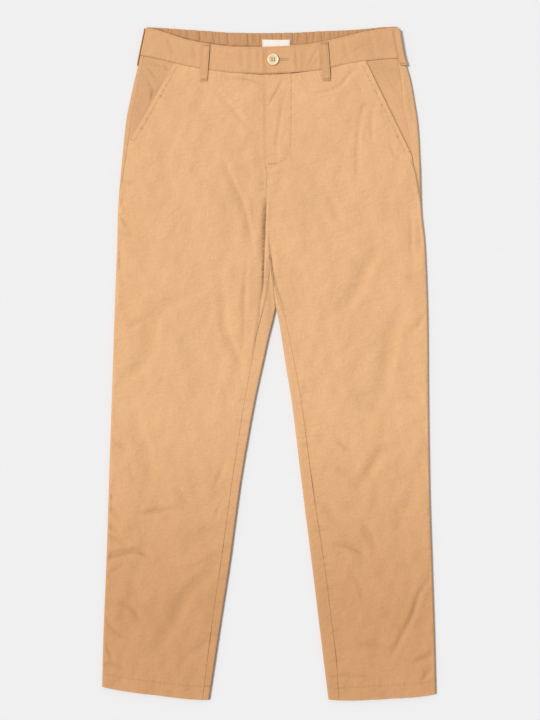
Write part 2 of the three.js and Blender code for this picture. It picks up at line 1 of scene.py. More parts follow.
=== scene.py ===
# %% [markdown]
# # Chino trousers, laid flat
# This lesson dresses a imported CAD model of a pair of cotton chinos. The model already has every piece at its
# real size: front and back panels, waistband, pocket facings, belt loops, label and button. Each of them is a
# plain wall of cloth. Here each wall becomes a thin shell of the same form with the creases, seams, stitches and
# weave of a garment that was worn, washed and laid on a table.
#
# Lengths in this file are millimetres on the garment's plan: x runs across it (the wearer's left is positive),
# down runs from the waist to the hems, and z is the height above the table. One function turns them into metres
# in the model's own frame.

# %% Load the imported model
from types import SimpleNamespace

import bmesh
import bpy
import numpy as np
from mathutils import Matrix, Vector
from mathutils.bvhtree import BVHTree


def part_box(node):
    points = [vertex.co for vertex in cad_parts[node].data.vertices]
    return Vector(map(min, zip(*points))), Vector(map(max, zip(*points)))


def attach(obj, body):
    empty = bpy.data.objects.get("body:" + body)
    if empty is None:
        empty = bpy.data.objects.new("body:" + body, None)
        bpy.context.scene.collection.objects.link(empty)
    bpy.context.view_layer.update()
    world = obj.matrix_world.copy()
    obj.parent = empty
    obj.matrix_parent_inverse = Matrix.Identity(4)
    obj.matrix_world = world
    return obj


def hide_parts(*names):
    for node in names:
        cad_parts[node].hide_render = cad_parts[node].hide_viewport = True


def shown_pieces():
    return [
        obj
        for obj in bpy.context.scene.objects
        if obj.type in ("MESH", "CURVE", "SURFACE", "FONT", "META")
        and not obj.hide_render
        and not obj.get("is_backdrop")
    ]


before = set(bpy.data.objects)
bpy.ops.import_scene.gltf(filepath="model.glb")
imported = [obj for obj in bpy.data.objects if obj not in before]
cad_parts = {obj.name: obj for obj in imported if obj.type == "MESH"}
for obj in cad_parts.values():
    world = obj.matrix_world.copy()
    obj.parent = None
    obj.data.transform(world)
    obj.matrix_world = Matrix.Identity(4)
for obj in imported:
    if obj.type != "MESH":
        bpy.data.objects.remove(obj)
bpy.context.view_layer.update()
MM = 0.001
print("nodes in the frame:", ", ".join(sorted(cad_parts)))

# %% [markdown]
# ## Where the plan lies in the frame
# The button's middle is known in both, so it ties the plan to the frame. The camera stands straight above the
# garment, as the light studio picture of a laid-out garment needs, and sees 1.07 m from top to bottom.

# %% The plan in the frame, and the camera
BUTTON = SimpleNamespace(x=6.5, down=49.0)
button_low, button_high = (np.array(corner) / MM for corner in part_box("button"))
PLAN_X = (button_low[0] + button_high[0]) / 2 - BUTTON.x
PLAN_Y = (button_low[1] + button_high[1]) / 2 + BUTTON.down


def in_frame(points):
    """Plan points (x, down, z) in millimetres, as points of the frame in metres."""
    points = np.asarray(points, float)
    return np.stack([points[..., 0] + PLAN_X, PLAN_Y - points[..., 1], points[..., 2]], -1) * MM


def plan_points(x, down, z):
    return np.stack(np.broadcast_arrays(x, down, z), -1)


CAMERA_HEIGHT = 3.0
VIEW_LENGTH = 1.07
camera_data = bpy.data.cameras.new("camera_above")
camera_data.lens = camera_data.sensor_width * (CAMERA_HEIGHT - 0.005) / VIEW_LENGTH
camera = bpy.data.objects.new("camera_above", camera_data)
camera.location = (0.0015, 0.0051, CAMERA_HEIGHT)
bpy.context.scene.collection.objects.link(camera)
bpy.context.scene.camera = camera
print(f"the plan's zero is at x {PLAN_X:.2f} mm, y {PLAN_Y:.2f} mm; lens {camera_data.lens:.1f} mm")

# %% [markdown]
# ## The cut, as tables
# A pattern cutter keeps a garment as a few measured lines: the sides, the middle, the inner edges of the legs, the
# waist, and how far each seam lies from the folded edge. Short tables hold these lines here too, the same as in the
# model's source, and a smooth curve that never overshoots runs through each of them. The other way, tracing the
# solid's own points, would keep its facets.


# %% Curves through a table
def lerp(a, b, t):
    return a + (b - a) * t


def smooth(value, low, high):
    t = np.clip((value - low) / (high - low), 0, 1)
    return t * t * (3 - 2 * t)


def bell(away, width):
    """A smooth hump: 1 in the middle, and next to nothing three widths away."""
    return np.exp(-((away / width) ** 2))


def curve(rows, source, target):
    """A smooth curve through two columns of a table."""
    rows = np.array(rows, float)
    xs, ys = rows[:, source], rows[:, target]
    slopes = np.diff(ys) / np.diff(xs)
    tangents = np.concatenate([slopes[:1], np.zeros(len(xs) - 2), slopes[-1:]])
    before, after = slopes[:-1], slopes[1:]
    same = before * after > 0
    tangents[1:-1] = np.where(same, 2 * before * after / np.where(same, before + after, 1), 0)

    def value(at):
        x = np.clip(at, xs[0], xs[-1])
        k = np.clip(np.searchsorted(xs, x, side="left") - 1, 0, len(xs) - 2)
        span = xs[k + 1] - xs[k]
        s = (x - xs[k]) / span
        return (
            ys[k] * (2 * s**3 - 3 * s**2 + 1)
            + ys[k + 1] * (3 * s**2 - 2 * s**3)
            + tangents[k] * span * (s**3 - 2 * s**2 + s)
            + tangents[k + 1] * span * (s**3 - s**2)
        )

    return value


# %% Side lines, middle line and inner edges: down, right, left
SIDES = [
    (0, -183, 193), (45, -192.3, 200.8), (60, -195, 206), (80, -199.8, 211.5), (110, -206.3, 217),
    (140, -212, 221.5), (185, -216.8, 224.6), (230, -221, 225.8), (270, -224, 227), (318, -225.3, 231.8),
    (345, -226.2, 233.5), (435, -229.6, 236.4), (555, -233.5, 237.4), (675, -237.5, 239.1),
    (790, -241.2, 242.6), (910, -246, 246.5), (1000, -248.3, 248.7),
]
MIDDLE = [(40, -5.5), (202, -5.5), (215, -2.8), (225, -3), (268, -3.2), (318, -0.5), (343, 2.2), (418, 10.5)]
INNER_EDGES = [
    (418, 10.5, 10.5), (435, 7, 14.8), (465, -0.5, 19.5), (495, -7, 24), (555, -20, 33.8), (615, -31, 41.4),
    (675, -41, 48.6), (735, -49.3, 56), (790, -56.5, 63), (850, -65.6, 70.4), (910, -74.8, 77.6),
    (970, -83.8, 85), (1000, -88.5, 88.7),
]
CROTCH, FORK = 343, 418

# How far each seam lies from the tube's outermost line, on the upper side: down, right, left
OUT_SEAMS = [
    (40, 6, 10), (80, 6.5, 15), (110, 7, 18), (140, 7, 16), (195, 6, 12), (235, 3, 5), (262, 0, 0), (1000, 0, 0),
]
IN_SEAMS = [
    (343, 4, 4), (383, 9.5, 4.2), (405, 15, 7.5), (425, 19, 10.3), (440, 19.8, 10.8), (470, 19.5, 12.5),
    (520, 17.2, 14.5), (600, 14.8, 15), (700, 13.5, 16.3), (790, 14, 18.5), (870, 13.5, 19.3), (930, 12.5, 19.5),
    (1000, 10.5, 16),
]

# %% Waist lines: x, front band's top, back band's top, front waist seam
WAIST = [
    (-194, 0.5, -0.2, 41.5), (-175, 2, -0.2, 45), (-145, 11, 1.4, 52), (-121, 18.5, 3.2, 58),
    (-90, 24.5, 5.2, 63.5), (-51, 29, 7.7, 68), (-8, 29.5, 8.1, 70), (30, 28, 7.6, 68.5), (52, 26, 6.8, 66.5),
    (73, 23, 5.6, 64), (112, 14, 4, 55.5), (143, 6.5, 2, 50.5), (173, 2, -0.7, 47.5), (205, -0.5, -1.4, 45.5),
]
front_top, back_top, front_seam = (curve(WAIST, 0, column) for column in (1, 2, 3))
middle_line = curve(MIDDLE, 0, 1)
FLY_EDGE = -5.5


def back_seam(x):
    return lerp(54, 45, np.minimum(np.abs(x - FLY_EDGE) / 195, 1))


print(f"waist seam {float(front_seam(-8.0)):.1f} mm down in the middle, {float(front_seam(-194.0)):.1f} mm at the side")

# %% Layers of cloth, in millimetres
CLOTH = 1.2
HALF_CLOTH = CLOTH / 2
SEAM_GAP = 0.4
LEG_RISE, HIP_RISE, SIDE_RISE = 4.0, 4.5, 2.9
SEAM_CLOSING = 0.33  # a sewn seam is pressed shut, so the shells meet where the solids keep their gap
PUFF = 0.35
HEM_HEIGHT, HEM_EXTRA = 21, 0.8
BAND, BACK_BAND = 2.2, 2.1
BAND_INSET = 0.6
LAYER_GAP = 0.3


def make_half(side, to_inside, waist, hem, bow, mouth_top, mouth_foot):
    """One half of the garment: its lines, and where its pocket mouth starts and ends."""
    column = {"right": 1, "left": 2}[side]
    inner_edge = curve(INNER_EDGES, 0, column)
    return SimpleNamespace(
        side=side, to_inside=to_inside, waist=waist, hem=hem, bow=bow, mouth_top=mouth_top, mouth_foot=mouth_foot,
        outer=curve(SIDES, 0, column),
        inner=lambda down: np.where(down < FORK, middle_line(down), inner_edge(down)),
        out_seam=curve(OUT_SEAMS, 0, column), in_seam=curve(IN_SEAMS, 0, column),
    )


RIGHT = make_half("right", 1, (42.5, 70), (980.5, 1000), 3, (-142.5, 58), (-209.5, 174))
LEFT = make_half("left", -1, (45.5, 70), (991, 999.5), 3.5, (145, 52), (213, 192))

# %% [markdown]
# ## A leg is a flattened tube
# Laid flat, each leg is a tube of cloth pressed to a few millimetres. A row goes across it from the outer fold to
# the inner one, and rows follow the waist seam at the top and the hem at the foot. A place on the tube is then a row
# and an arc length round the fold, which is how the cloth itself would be measured with a tape.


# %% Rows across a leg, and points on the tube
def row_facts(half, share):
    outer_down = lerp(half.waist[0], half.hem[0], share)
    inner_down = lerp(half.waist[1], half.hem[1], share)
    outer_x, inner_x = half.outer(outer_down), half.inner(inner_down)
    width = np.hypot(inner_x - outer_x, inner_down - outer_down)
    return SimpleNamespace(
        share=share, outer_down=outer_down, inner_down=inner_down, outer_x=outer_x, inner_x=inner_x, width=width
    )


def on_plan(half, row, distance):
    """x and down of the points this far from the outer edge, on rows that follow the waist seam and the hem."""
    u = distance / row.width
    inside = np.clip(u, 0, 1)
    waist_x = lerp(half.outer(half.waist[0]), half.inner(half.waist[1]), inside)
    waist_down = front_seam(waist_x) + 0.12
    top_fade = (1 - smooth(row.share, 0, 0.22)) ** 2
    hem_fade = smooth(row.share, 0.9, 0.98)
    bow = half.bow * (1 - (2 * inside - 1) ** 4)
    down = lerp(row.outer_down, row.inner_down, u)
    down = down + (waist_down - lerp(*half.waist, inside)) * top_fade + bow * hem_fade
    return lerp(row.outer_x, row.inner_x, u), down


def main_rise(down):
    return lerp(HIP_RISE, LEG_RISE, smooth(down, 250, 350))


def side_rise(half, down):
    return lerp(SIDE_RISE, main_rise(down), smooth(down, half.mouth_foot[1], half.mouth_foot[1] + 24))


def inner_fold(down):
    return lerp(0.05, LEG_RISE / 2, smooth(down, FORK - 12, FORK + 12))


def inner_inset(down):
    deep = lerp(SEAM_GAP / 2, HALF_CLOTH + SEAM_GAP / 2, smooth(down, CROTCH - 75, CROTCH - 50))
    return deep - 0.16 * smooth(down, CROTCH - 30, CROTCH - 10) * (1 - smooth(down, FORK - 12, FORK))


def on_tube(half, row, arc, rise, fold, inset, is_outer=True):
    """Points (x, down, z) of the cloth's middle, arc length from the tube's outermost line, upper side positive."""
    radius = rise / 2
    quarter = np.pi / 2 * radius
    turn = np.clip(arc / radius, -np.pi / 2, np.pi / 2)
    distance = inset + fold * (1 - np.cos(turn)) + np.maximum(np.abs(arc) - quarter, 0)
    x, down = on_plan(half, row, distance if is_outer else row.width - distance)
    across = np.clip(distance / row.width, 0, 1)
    bent = HALF_CLOTH + radius + radius * np.sin(turn)
    flat = HALF_CLOTH + main_rise(lerp(row.outer_down, row.inner_down, across)) + PUFF * np.sin(np.pi * across)
    flat = flat + rise - main_rise(row.outer_down)
    z = np.where(arc > quarter, flat, bent) if is_outer else bent
    return plan_points(x, down, z)


print(f"the right leg is {float(row_facts(RIGHT, 0.6).width):.0f} mm wide at the knee")

# %% [markdown]
# ## Creases
# A crease is a line on the plan with a depth and a width on each side. Steep on one side and long on the other
# gives the lean that real folds have. Fine ripples come from the thread, which draws cloth in along a seam, and
# slow swells come from the way that cloth never lies quite flat. Modelling them as depths on the plan keeps them
# true to size, and the same tools serve every piece. A simulation could settle the cloth too, but it wouldn't put a
# fold where this garment has it.


# %% Lines on the plan
def bend(a, b, c, d, t):
    """A place between b and c on a smooth line through a, b, c and d."""
    return (2 * b + (c - a) * t + (2 * a - 5 * b + 4 * c - d) * t**2 + (3 * b - a - 3 * c + d) * t**3) / 2


def smooth_line(points, step=5.0):
    """A line through these points, as x, down, x, down and so on, bent smoothly and cut into short steps."""
    p = np.array(points, float).reshape(-1, 2)
    ends = np.vstack([2 * p[0] - p[1], p, 2 * p[-1] - p[-2]])
    pieces = []
    for a, b, c, d in zip(ends[:-3], ends[1:-2], ends[2:-1], ends[3:]):
        count = max(int(np.hypot(*(c - b)) / step), 1)
        pieces.append(bend(a, b, c, d, (np.arange(count) / count)[:, None]))
    return np.vstack([*pieces, p[-1:]])


def near_line(line, x, down, reach):
    """Which points are within reach of a line, how far along it they are, their distance from it, its length.

    The distance is positive to the left of a line that runs down, and below one that runs to the right."""
    low, high = line.min(0) - reach, line.max(0) + reach
    here = (x > low[0]) & (x < high[0]) & (down > low[1]) & (down < high[1])
    x, down = x[here], down[here]
    best, along, side = (np.full(x.shape, value) for value in (np.inf, 0.0, 0.0))
    start = 0.0
    for (x0, d0), (x1, d1) in zip(line[:-1], line[1:]):
        length = np.hypot(x1 - x0, d1 - d0)
        ux, ud = (x1 - x0) / length, (d1 - d0) / length
        share = np.clip((x - x0) * ux + (down - d0) * ud, 0, length)
        off_x, off_down = x - x0 - share * ux, down - d0 - share * ud
        away = np.hypot(off_x, off_down)
        closer = away < best
        best = np.where(closer, away, best)
        along = np.where(closer, start + share, along)
        side = np.where(closer, np.where(ux * off_down - ud * off_x > 0, away, -away), side)
        start += length
    return here, along, side, start


# %% Creases, stitch grooves, ripples and swells
SHOULDER = 0.45  # cloth pushed out of a crease stands up beside it
DEEPEST = 1.5  # the strongest shade in a fold, where a plain seam has 1


def creases(table, x, down):
    """Depth of the creases in a table: depth, width on the first side, on the second, sharpness, line."""
    depth = np.zeros(np.shape(x))
    for deep, first, second, sharp, *points in table:
        here, along, side, length = near_line(smooth_line(points), x, down, 5 * max(first, second))
        away = np.abs(side) / np.where(side > 0, first, second)
        taper = np.sin(np.pi * lerp(0.06, 0.94, along / length)) ** 0.8
        depth[here] += deep * taper * ((1 + SHOULDER) * np.exp(-(away**sharp)) - SHOULDER * bell(away, 2.1))
    return depth


def shade(table, x, down):
    """Where cloth lies in the shade of a fold: strength, width on the first side, on the second, line."""
    total = np.zeros(np.shape(x))
    for strong, first, second, *points in table:
        here, along, side, length = near_line(smooth_line(points), x, down, 3 * max(first, second))
        ends = np.sin(np.pi * lerp(0.08, 0.92, along / length)) ** 0.6
        total[here] = np.maximum(total[here], strong * ends * bell(side, np.where(side > 0, first, second)))
    return total


def groove(line, x, down, width, deep):
    """Depth of an even groove, as a stitch line presses into cloth."""
    depth = np.zeros(np.shape(x))
    here, _, side, _ = near_line(line, x, down, 3 * width)
    depth[here] = deep * bell(side, width)
    return depth


def ripples(line, x, down, spacing, first, second, deep, seed, lean=0.0):
    """Depth of short ripples across a seam, uneven in spacing and strength, reaching further on one side."""
    here, along, side, length = near_line(line, x, down, 2.6 * max(first, second))
    phase = 2 * np.pi * (along + lean * np.abs(side)) / spacing
    phase += 1.4 * np.sin(phase / 3.7 + seed) + 1.1 * np.sin(phase / 8.3 + 2.1 * seed)
    strength = 0.6 + 0.3 * np.sin(phase / 4.9 + 3 * seed) + 0.3 * np.sin(phase / 2.3 + seed)
    reach = np.where(side > 0, first, second) * (0.8 + 0.35 * np.sin(phase / 2.9 + 5 * seed))
    ends = smooth(along, 0, 15) * (1 - smooth(along, length - 15, length))
    wave = (0.5 - 0.5 * np.cos(phase)) ** 1.3 - 0.42
    depth = np.zeros(np.shape(x))
    depth[here] = deep * np.clip(strength, 0, 2) * ends * wave * bell(side, reach)
    return depth


def swells(x, down, seed, lengths, deep, count=9):
    """Slow rises and hollows of cloth that lies loose, from a few seeded waves."""
    rng = np.random.default_rng(seed)
    total = np.zeros(np.shape(x))
    for _ in range(count):
        length, angle = rng.uniform(*lengths), rng.uniform(0, np.pi)
        first, second = rng.uniform(0, 2 * np.pi, 2)
        along = x * np.cos(angle) + down * np.sin(angle)
        across = down * np.cos(angle) - x * np.sin(angle)
        weave = 1.3 * np.sin(2 * np.pi * across / (1.9 * length) + second)
        total += np.sin(2 * np.pi * along / length + first + weave)
    return total * deep / np.sqrt(count)


# %% [markdown]
# ## A shell of cloth
# Every cloth piece is one closed shell: a grid of points for the middle of the cloth, half the thickness to each
# side, and a half-round edge, because cut and folded cloth has no square corners. Two values are kept on its points
# for the materials: seam, which is painted shade in stitch grooves, seams, creases, folded edges and under other
# pieces, and wear, along edges that rub.


# %% Meshes from arrays
def make_object(name, coords, face_sets, uv=None, values=None):
    """An object from points in metres and arrays of faces, with smooth shading."""
    mesh = bpy.data.meshes.new(name)
    loops = np.concatenate([faces.ravel() for faces in face_sets]).astype(np.int32)
    sizes = np.concatenate([np.full(len(faces), faces.shape[1]) for faces in face_sets])
    mesh.vertices.add(len(coords))
    mesh.vertices.foreach_set("co", np.asarray(coords, np.float32).ravel())
    mesh.loops.add(len(loops))
    mesh.loops.foreach_set("vertex_index", loops)
    mesh.polygons.add(len(sizes))
    starts = np.concatenate([[0], np.cumsum(sizes)[:-1]]).astype(np.int32)
    mesh.polygons.foreach_set("loop_start", starts)
    mesh.polygons.foreach_set("use_smooth", np.ones(len(sizes), bool))
    mesh.update(calc_edges=True)
    mesh.validate()
    if uv is not None:
        mesh.uv_layers.new(name="cloth").data.foreach_set("uv", np.asarray(uv, np.float32)[loops].ravel())
    for label, value in (values or {}).items():
        kept = mesh.attributes.new(label, "FLOAT", "POINT")
        kept.data.foreach_set("value", np.asarray(value, np.float32).ravel())
    obj = bpy.data.objects.new(name, mesh)
    bpy.context.scene.collection.objects.link(obj)
    return obj


def lengths_along(points, axis):
    """Distance along each line of a grid from its start, and to its nearer end."""
    steps = np.linalg.norm(np.diff(points, axis=axis), axis=-1)
    start = np.zeros_like(np.take(steps, [0], axis=axis))
    along = np.concatenate([start, np.cumsum(steps, axis=axis)], axis=axis)
    total = np.take(along, [-1], axis=axis)
    return along, np.minimum(along, total - along)


def rounded(distance, radius):
    return np.sqrt(1 - (1 - np.clip(distance / radius, 0, 1)) ** 2)


def cloth_shell(name, grid, first=HALF_CLOTH, second=HALF_CLOTH, seam=0.0, wear_reach=3.0, uv=None, rim=0.7,
                flip=False):
    """A closed shell round a grid of plan points. Its first side faces up where columns run along x.

    A grid whose columns run the other way is flipped, with all that belongs to it."""
    rows, columns = grid.shape[:2]
    first, second, seam = (np.broadcast_to(values, (rows, columns)) for values in (first, second, seam))
    if flip:
        grid, first, second, seam = (values[:, ::-1] for values in (grid, first, second, seam))
        uv = None if uv is None else uv[:, ::-1]
    points = in_frame(grid)
    normals = np.cross(np.gradient(points, axis=0), np.gradient(points, axis=1))
    normals /= np.linalg.norm(normals, axis=-1, keepdims=True)
    down_along, down_end = lengths_along(points / MM, 0)
    across_along, across_end = lengths_along(points / MM, 1)
    half = np.minimum(np.maximum(first, second), rim)
    edge = rounded(down_end, half) * rounded(across_end, half)
    upper = points + normals * (first * edge)[..., None] * MM
    lower = points - normals * (second * edge)[..., None] * MM
    top = np.arange(rows * columns).reshape(rows, columns)
    bottom = top.copy()
    bottom[1:-1, 1:-1] = rows * columns + np.arange((rows - 2) * (columns - 2)).reshape(rows - 2, columns - 2)

    def quads(index, turned):
        a, b, c, d = index[:-1, :-1], index[1:, :-1], index[1:, 1:], index[:-1, 1:]
        return np.stack((a, d, c, b) if turned else (a, b, c, d), -1).reshape(-1, 4)

    def both(values):
        """Values for the points of the upper side, then of the lower one, which shares its rim."""
        values = values.reshape(rows, columns, -1)
        return np.concatenate([part.reshape(-1, values.shape[2]) for part in (values, values[1:-1, 1:-1])])

    if uv is None:
        uv = np.stack([across_along, down_along], -1)
    values = {"wear": both(np.exp(-np.minimum(down_end, across_end) / wear_reach)), "seam": both(seam)}
    coords = np.concatenate([upper.reshape(-1, 3), lower[1:-1, 1:-1].reshape(-1, 3)])
    obj = make_object(name, coords, [quads(top, False), quads(bottom, True)], both(uv) * MM, values)
    sides = np.diff(points, axis=0)[:, :-1], np.diff(points, axis=1)[:-1]
    area = np.linalg.norm(np.cross(*sides), axis=-1).sum()
    print(f"{name}: {len(obj.data.polygons) * 2} triangles, {area * 1e4:.0f} cm2 of cloth")
    return obj


# %% Spacing of rows and columns
RIM = [0, 0.08, 0.25, 0.5, 0.8, 1.3]


def with_rims(middle, stop, start=0.0, rim=RIM):
    """Places from start to stop: close ones at both rims, and these between them."""
    rim = np.array(rim, float)
    return np.concatenate([start + rim, middle, stop - rim[::-1]])


def between(first, last, from_first, count, from_last):
    """Columns at set distances from the two ends of each row, and evenly between them."""
    first, last = np.broadcast_arrays(first, last)
    near = first + np.array(from_first, float)
    far = last - np.array(from_last, float)[::-1]
    t = (np.arange(count) + 1) / (count + 1)
    return np.concatenate([near, lerp(near[:, -1:], far[:, :1], t), far], axis=1)


def leg_shares(half, hip_step, leg_step):
    """Shares down a leg: close rows at the hip, the crotch and the hem, wider ones on the leg."""
    length = half.hem[1] - half.waist[1]
    hip = np.arange(2.2, 160, hip_step)
    leg = np.arange(160, length - HEM_HEIGHT - 5, leg_step)
    hem = np.arange(length - HEM_HEIGHT - 5, length - 2.4, 1.4)
    crotch = np.arange(CROTCH - 8, CROTCH + 5, 1.0) - half.waist[1]
    leg = leg[(leg < crotch[0] - 1) | (leg > crotch[-1] + 1)]
    return (np.sort(with_rims(np.concatenate([hip, leg, crotch, hem]), length)) / length)[:, None]


print(f"rows down a front panel: {len(leg_shares(RIGHT, 1.9, 2.9))}")

# %% [markdown]
# ## Materials
# The cloth is a sand-coloured cotton twill: a fine diagonal weave, matt, with a soft sheen of short fibres, a
# little uneven in colour from yarn to yarn, and paler where an edge rubs. Painted shade darkens it in the seams,
# creases and folds and under other pieces. Each of these effects serves several pieces, so each is a node group with
# named sockets, and every material keeps its own shader.
# Textures painted on images would do it too, but nodes stay sharp at any distance and need no files.


# %% A short way to write nodes
class NodeSheet:
    """Adds nodes to one tree, with their settings and links in one line."""

    def __init__(self, tree):
        self.tree = tree

    def fill(self, node, inputs):
        """Links a node's sockets, or sets plain values on them."""
        for socket, value in inputs.items():
            if isinstance(value, bpy.types.NodeSocket):
                self.tree.links.new(value, node.inputs[socket])
            else:
                node.inputs[socket].default_value = value

    def add(self, kind, inputs=(), **settings):
        node = self.tree.nodes.new(kind)
        for name, value in settings.items():
            setattr(node, name, value)
        self.fill(node, dict(inputs))
        return node

    def math(self, operation, a, b):
        return self.add("ShaderNodeMath", {0: a, 1: b}, operation=operation).outputs[0]

    def plus(self, a, b):
        return self.math("ADD", a, b)

    def less(self, a, b):
        return self.math("SUBTRACT", a, b)

    def times(self, a, b):
        return self.math("MULTIPLY", a, b)

    def vector(self, operation, inputs):
        return self.add("ShaderNodeVectorMath", inputs, operation=operation).outputs[0]

    def places(self, kind):
        return self.add("ShaderNodeTexCoord").outputs[kind]

    def kept(self, name):
        """A value that was kept on the mesh's points."""
        return self.add("ShaderNodeAttribute", attribute_name=name).outputs["Fac"]

    def noise(self, vector, scale, detail=2.0, roughness=0.5, distortion=0.0):
        inputs = {"Vector": vector, "Scale": scale, "Detail": detail, "Roughness": roughness, "Distortion": distortion}
        return self.add("ShaderNodeTexNoise", inputs).outputs["Fac"]

    def bands(self, vector, scale, direction, distortion, detail=2.0):
        inputs = {"Vector": vector, "Scale": scale, "Distortion": distortion, "Detail": detail}
        return self.add("ShaderNodeTexWave", inputs, wave_type="BANDS", bands_direction=direction).outputs["Fac"]

    def scaled(self, vector, scale, turn=0.0):
        return self.add("ShaderNodeMapping", {"Vector": vector, "Scale": scale, "Rotation": (0, 0, turn)}).outputs[0]

    def spread(self, value, low, high, to_low=0.0, to_high=1.0):
        inputs = {"Value": value, "From Min": low, "From Max": high, "To Min": to_low, "To Max": to_high}
        return self.add("ShaderNodeMapRange", inputs).outputs[0]

    def mix(self, share, a, b):
        return self.add("ShaderNodeMix", {0: share, 6: a, 7: b}, data_type="RGBA").outputs[2]

    def bump(self, height, distance, **more):
        return self.add("ShaderNodeBump", {"Height": height, "Distance": distance, **more}).outputs[0]

    def group(self, tree, inputs):
        return self.add("ShaderNodeGroup", inputs, node_tree=tree).outputs

    def put_out(self, **values):
        """Links values to the group's outputs of the same names, and returns the group."""
        self.add("NodeGroupOutput", values)
        return self.tree


def new_group(name, inputs, outputs):
    """A shader node group with named sockets. Returns its node sheet and its input sockets by name."""
    tree = bpy.data.node_groups.new(name, "ShaderNodeTree")
    for socket, value in inputs.items():
        kind = {type(None): "NodeSocketVector", tuple: "NodeSocketColor", float: "NodeSocketFloat"}[type(value)]
        made = tree.interface.new_socket(socket, in_out="INPUT", socket_type=kind)
        if value is not None:
            made.default_value = value
    for socket, kind in outputs.items():
        tree.interface.new_socket(socket, in_out="OUTPUT", socket_type=f"NodeSocket{kind}")
    return NodeSheet(tree), tree.nodes.new("NodeGroupInput").outputs


def new_material(name):
    """A material, its node sheet and its shader."""
    made = bpy.data.materials.new(name)
    made.use_nodes = True
    return made, NodeSheet(made.node_tree), made.node_tree.nodes["Principled BSDF"]


def colour(red, green, blue):
    """A colour as seen on a screen, from 0 to 255, as light values."""
    c = np.array([red, green, blue]) / 255
    return (*np.where(c <= 0.04045, c / 12.92, ((c + 0.055) / 1.055) ** 2.4), 1.0)


def darker(shade, share):
    return (*(share * c for c in shade[:3]), 1.0)


# %% Group: twill weave
def twill_group():
    n, given = new_group("twill weave", {"Vector": None, "Rib width mm": 0.55, "Unevenness": 1.5}, {"Height": "Float"})
    millimetres = n.vector("SCALE", {0: given["Vector"], "Scale": 1000.0})
    # A wave texture's band is 0.314 units wide at a scale of 1
    band = n.math("DIVIDE", 0.314, given["Rib width mm"])
    ribs = n.bands(n.scaled(millimetres, (1, 1, 1), 0.96), band, "X", given["Unevenness"], 1.0)
    picks = n.bands(millimetres, n.times(band, 1.2), "Y", 0.6, 1.0)
    return n.put_out(Height=n.plus(n.times(ribs, 0.75), n.times(picks, 0.25)))


# %% Group: cotton tone
PLAIN_COTTON, SEAM_SHADE, RUBBED_COTTON = (0.7, 0.4, 0.2, 1.0), (0.16, 0.075, 0.03, 1.0), (0.93, 0.72, 0.5, 1.0)


def tone_group():
    inputs = {"Vector": None, "Colour": PLAIN_COTTON, "Mottle": 0.06, "Yarn streaks": 0.16, "Speckle": 0.13}
    n, given = new_group("cotton tone", inputs, {"Colour": "Color", "Matt": "Float"})
    patches = n.noise(given["Vector"], 14.0, 3.0, 0.55)
    across = n.noise(n.scaled(given["Vector"], (60, 900, 1)), 1.0)
    along = n.noise(n.scaled(given["Vector"], (1100, 45, 1)), 1.0)
    grain = n.noise(given["Vector"], 700.0, 2.0, 0.7)
    total = n.times(n.less(patches, 0.5), n.times(given["Mottle"], 2.0))
    total = n.plus(total, n.times(n.less(n.plus(across, along), 1.0), given["Yarn streaks"]))
    total = n.plus(total, n.times(n.less(grain, 0.5), n.times(given["Speckle"], 2.0)))
    tinted = n.vector("SCALE", {0: given["Colour"], "Scale": n.plus(1.0, total)})
    return n.put_out(Colour=tinted, Matt=n.spread(grain, 0.3, 0.7))


# %% Group: painted shade and edge wear
def shade_and_wear_group():
    inputs = {"Colour": PLAIN_COTTON, "Vector": None, "Seam": 0.0, "Edge": 0.0, "Seam depth": 0.35, "Rubbed": 0.18}
    n, given = new_group("painted shade and edge wear", inputs, {"Colour": "Color", "Worn": "Float"})
    broken = n.spread(n.noise(given["Vector"], 260.0, 3.0, 0.6), 0.35, 0.65)
    # Seam is painted shade: it blends the colour towards SEAM_SHADE in grooves, folds and under other pieces.
    deepened = n.times(n.times(given["Seam"], given["Seam depth"]), n.spread(broken, 0, 1, 0.55, 1.0))
    dark = n.mix(n.math("MINIMUM", deepened, 0.9), given["Colour"], SEAM_SHADE)
    worn = n.times(n.times(given["Edge"], given["Rubbed"]), broken)
    return n.put_out(Colour=n.mix(worn, dark, RUBBED_COTTON), Worn=worn)


# %% Group: fine crumple
def crumple_group():
    n, given = new_group("fine crumple", {"Vector": None, "Size mm": 9.0, "Stretch": 1.6}, {"Height": "Float"})
    per_metre = n.math("DIVIDE", 1000.0, given["Size mm"])
    stretch = n.add("ShaderNodeCombineXYZ", {0: 1.0, 1: given["Stretch"], 2: 1.0}).outputs[0]
    drawn = n.vector("MULTIPLY", {0: given["Vector"], 1: stretch})
    large = n.noise(drawn, per_metre, 1.5, 0.45, 0.6)
    small = n.noise(given["Vector"], n.times(per_metre, 3.1), 2.0, 0.5, 0.3)
    return n.put_out(Height=n.plus(n.times(large, 0.8), n.times(small, 0.2)))


TWILL, TONE, SHADE_AND_WEAR, CRUMPLE = twill_group(), tone_group(), shade_and_wear_group(), crumple_group()
print("node groups:", ", ".join(group.name for group in bpy.data.node_groups))
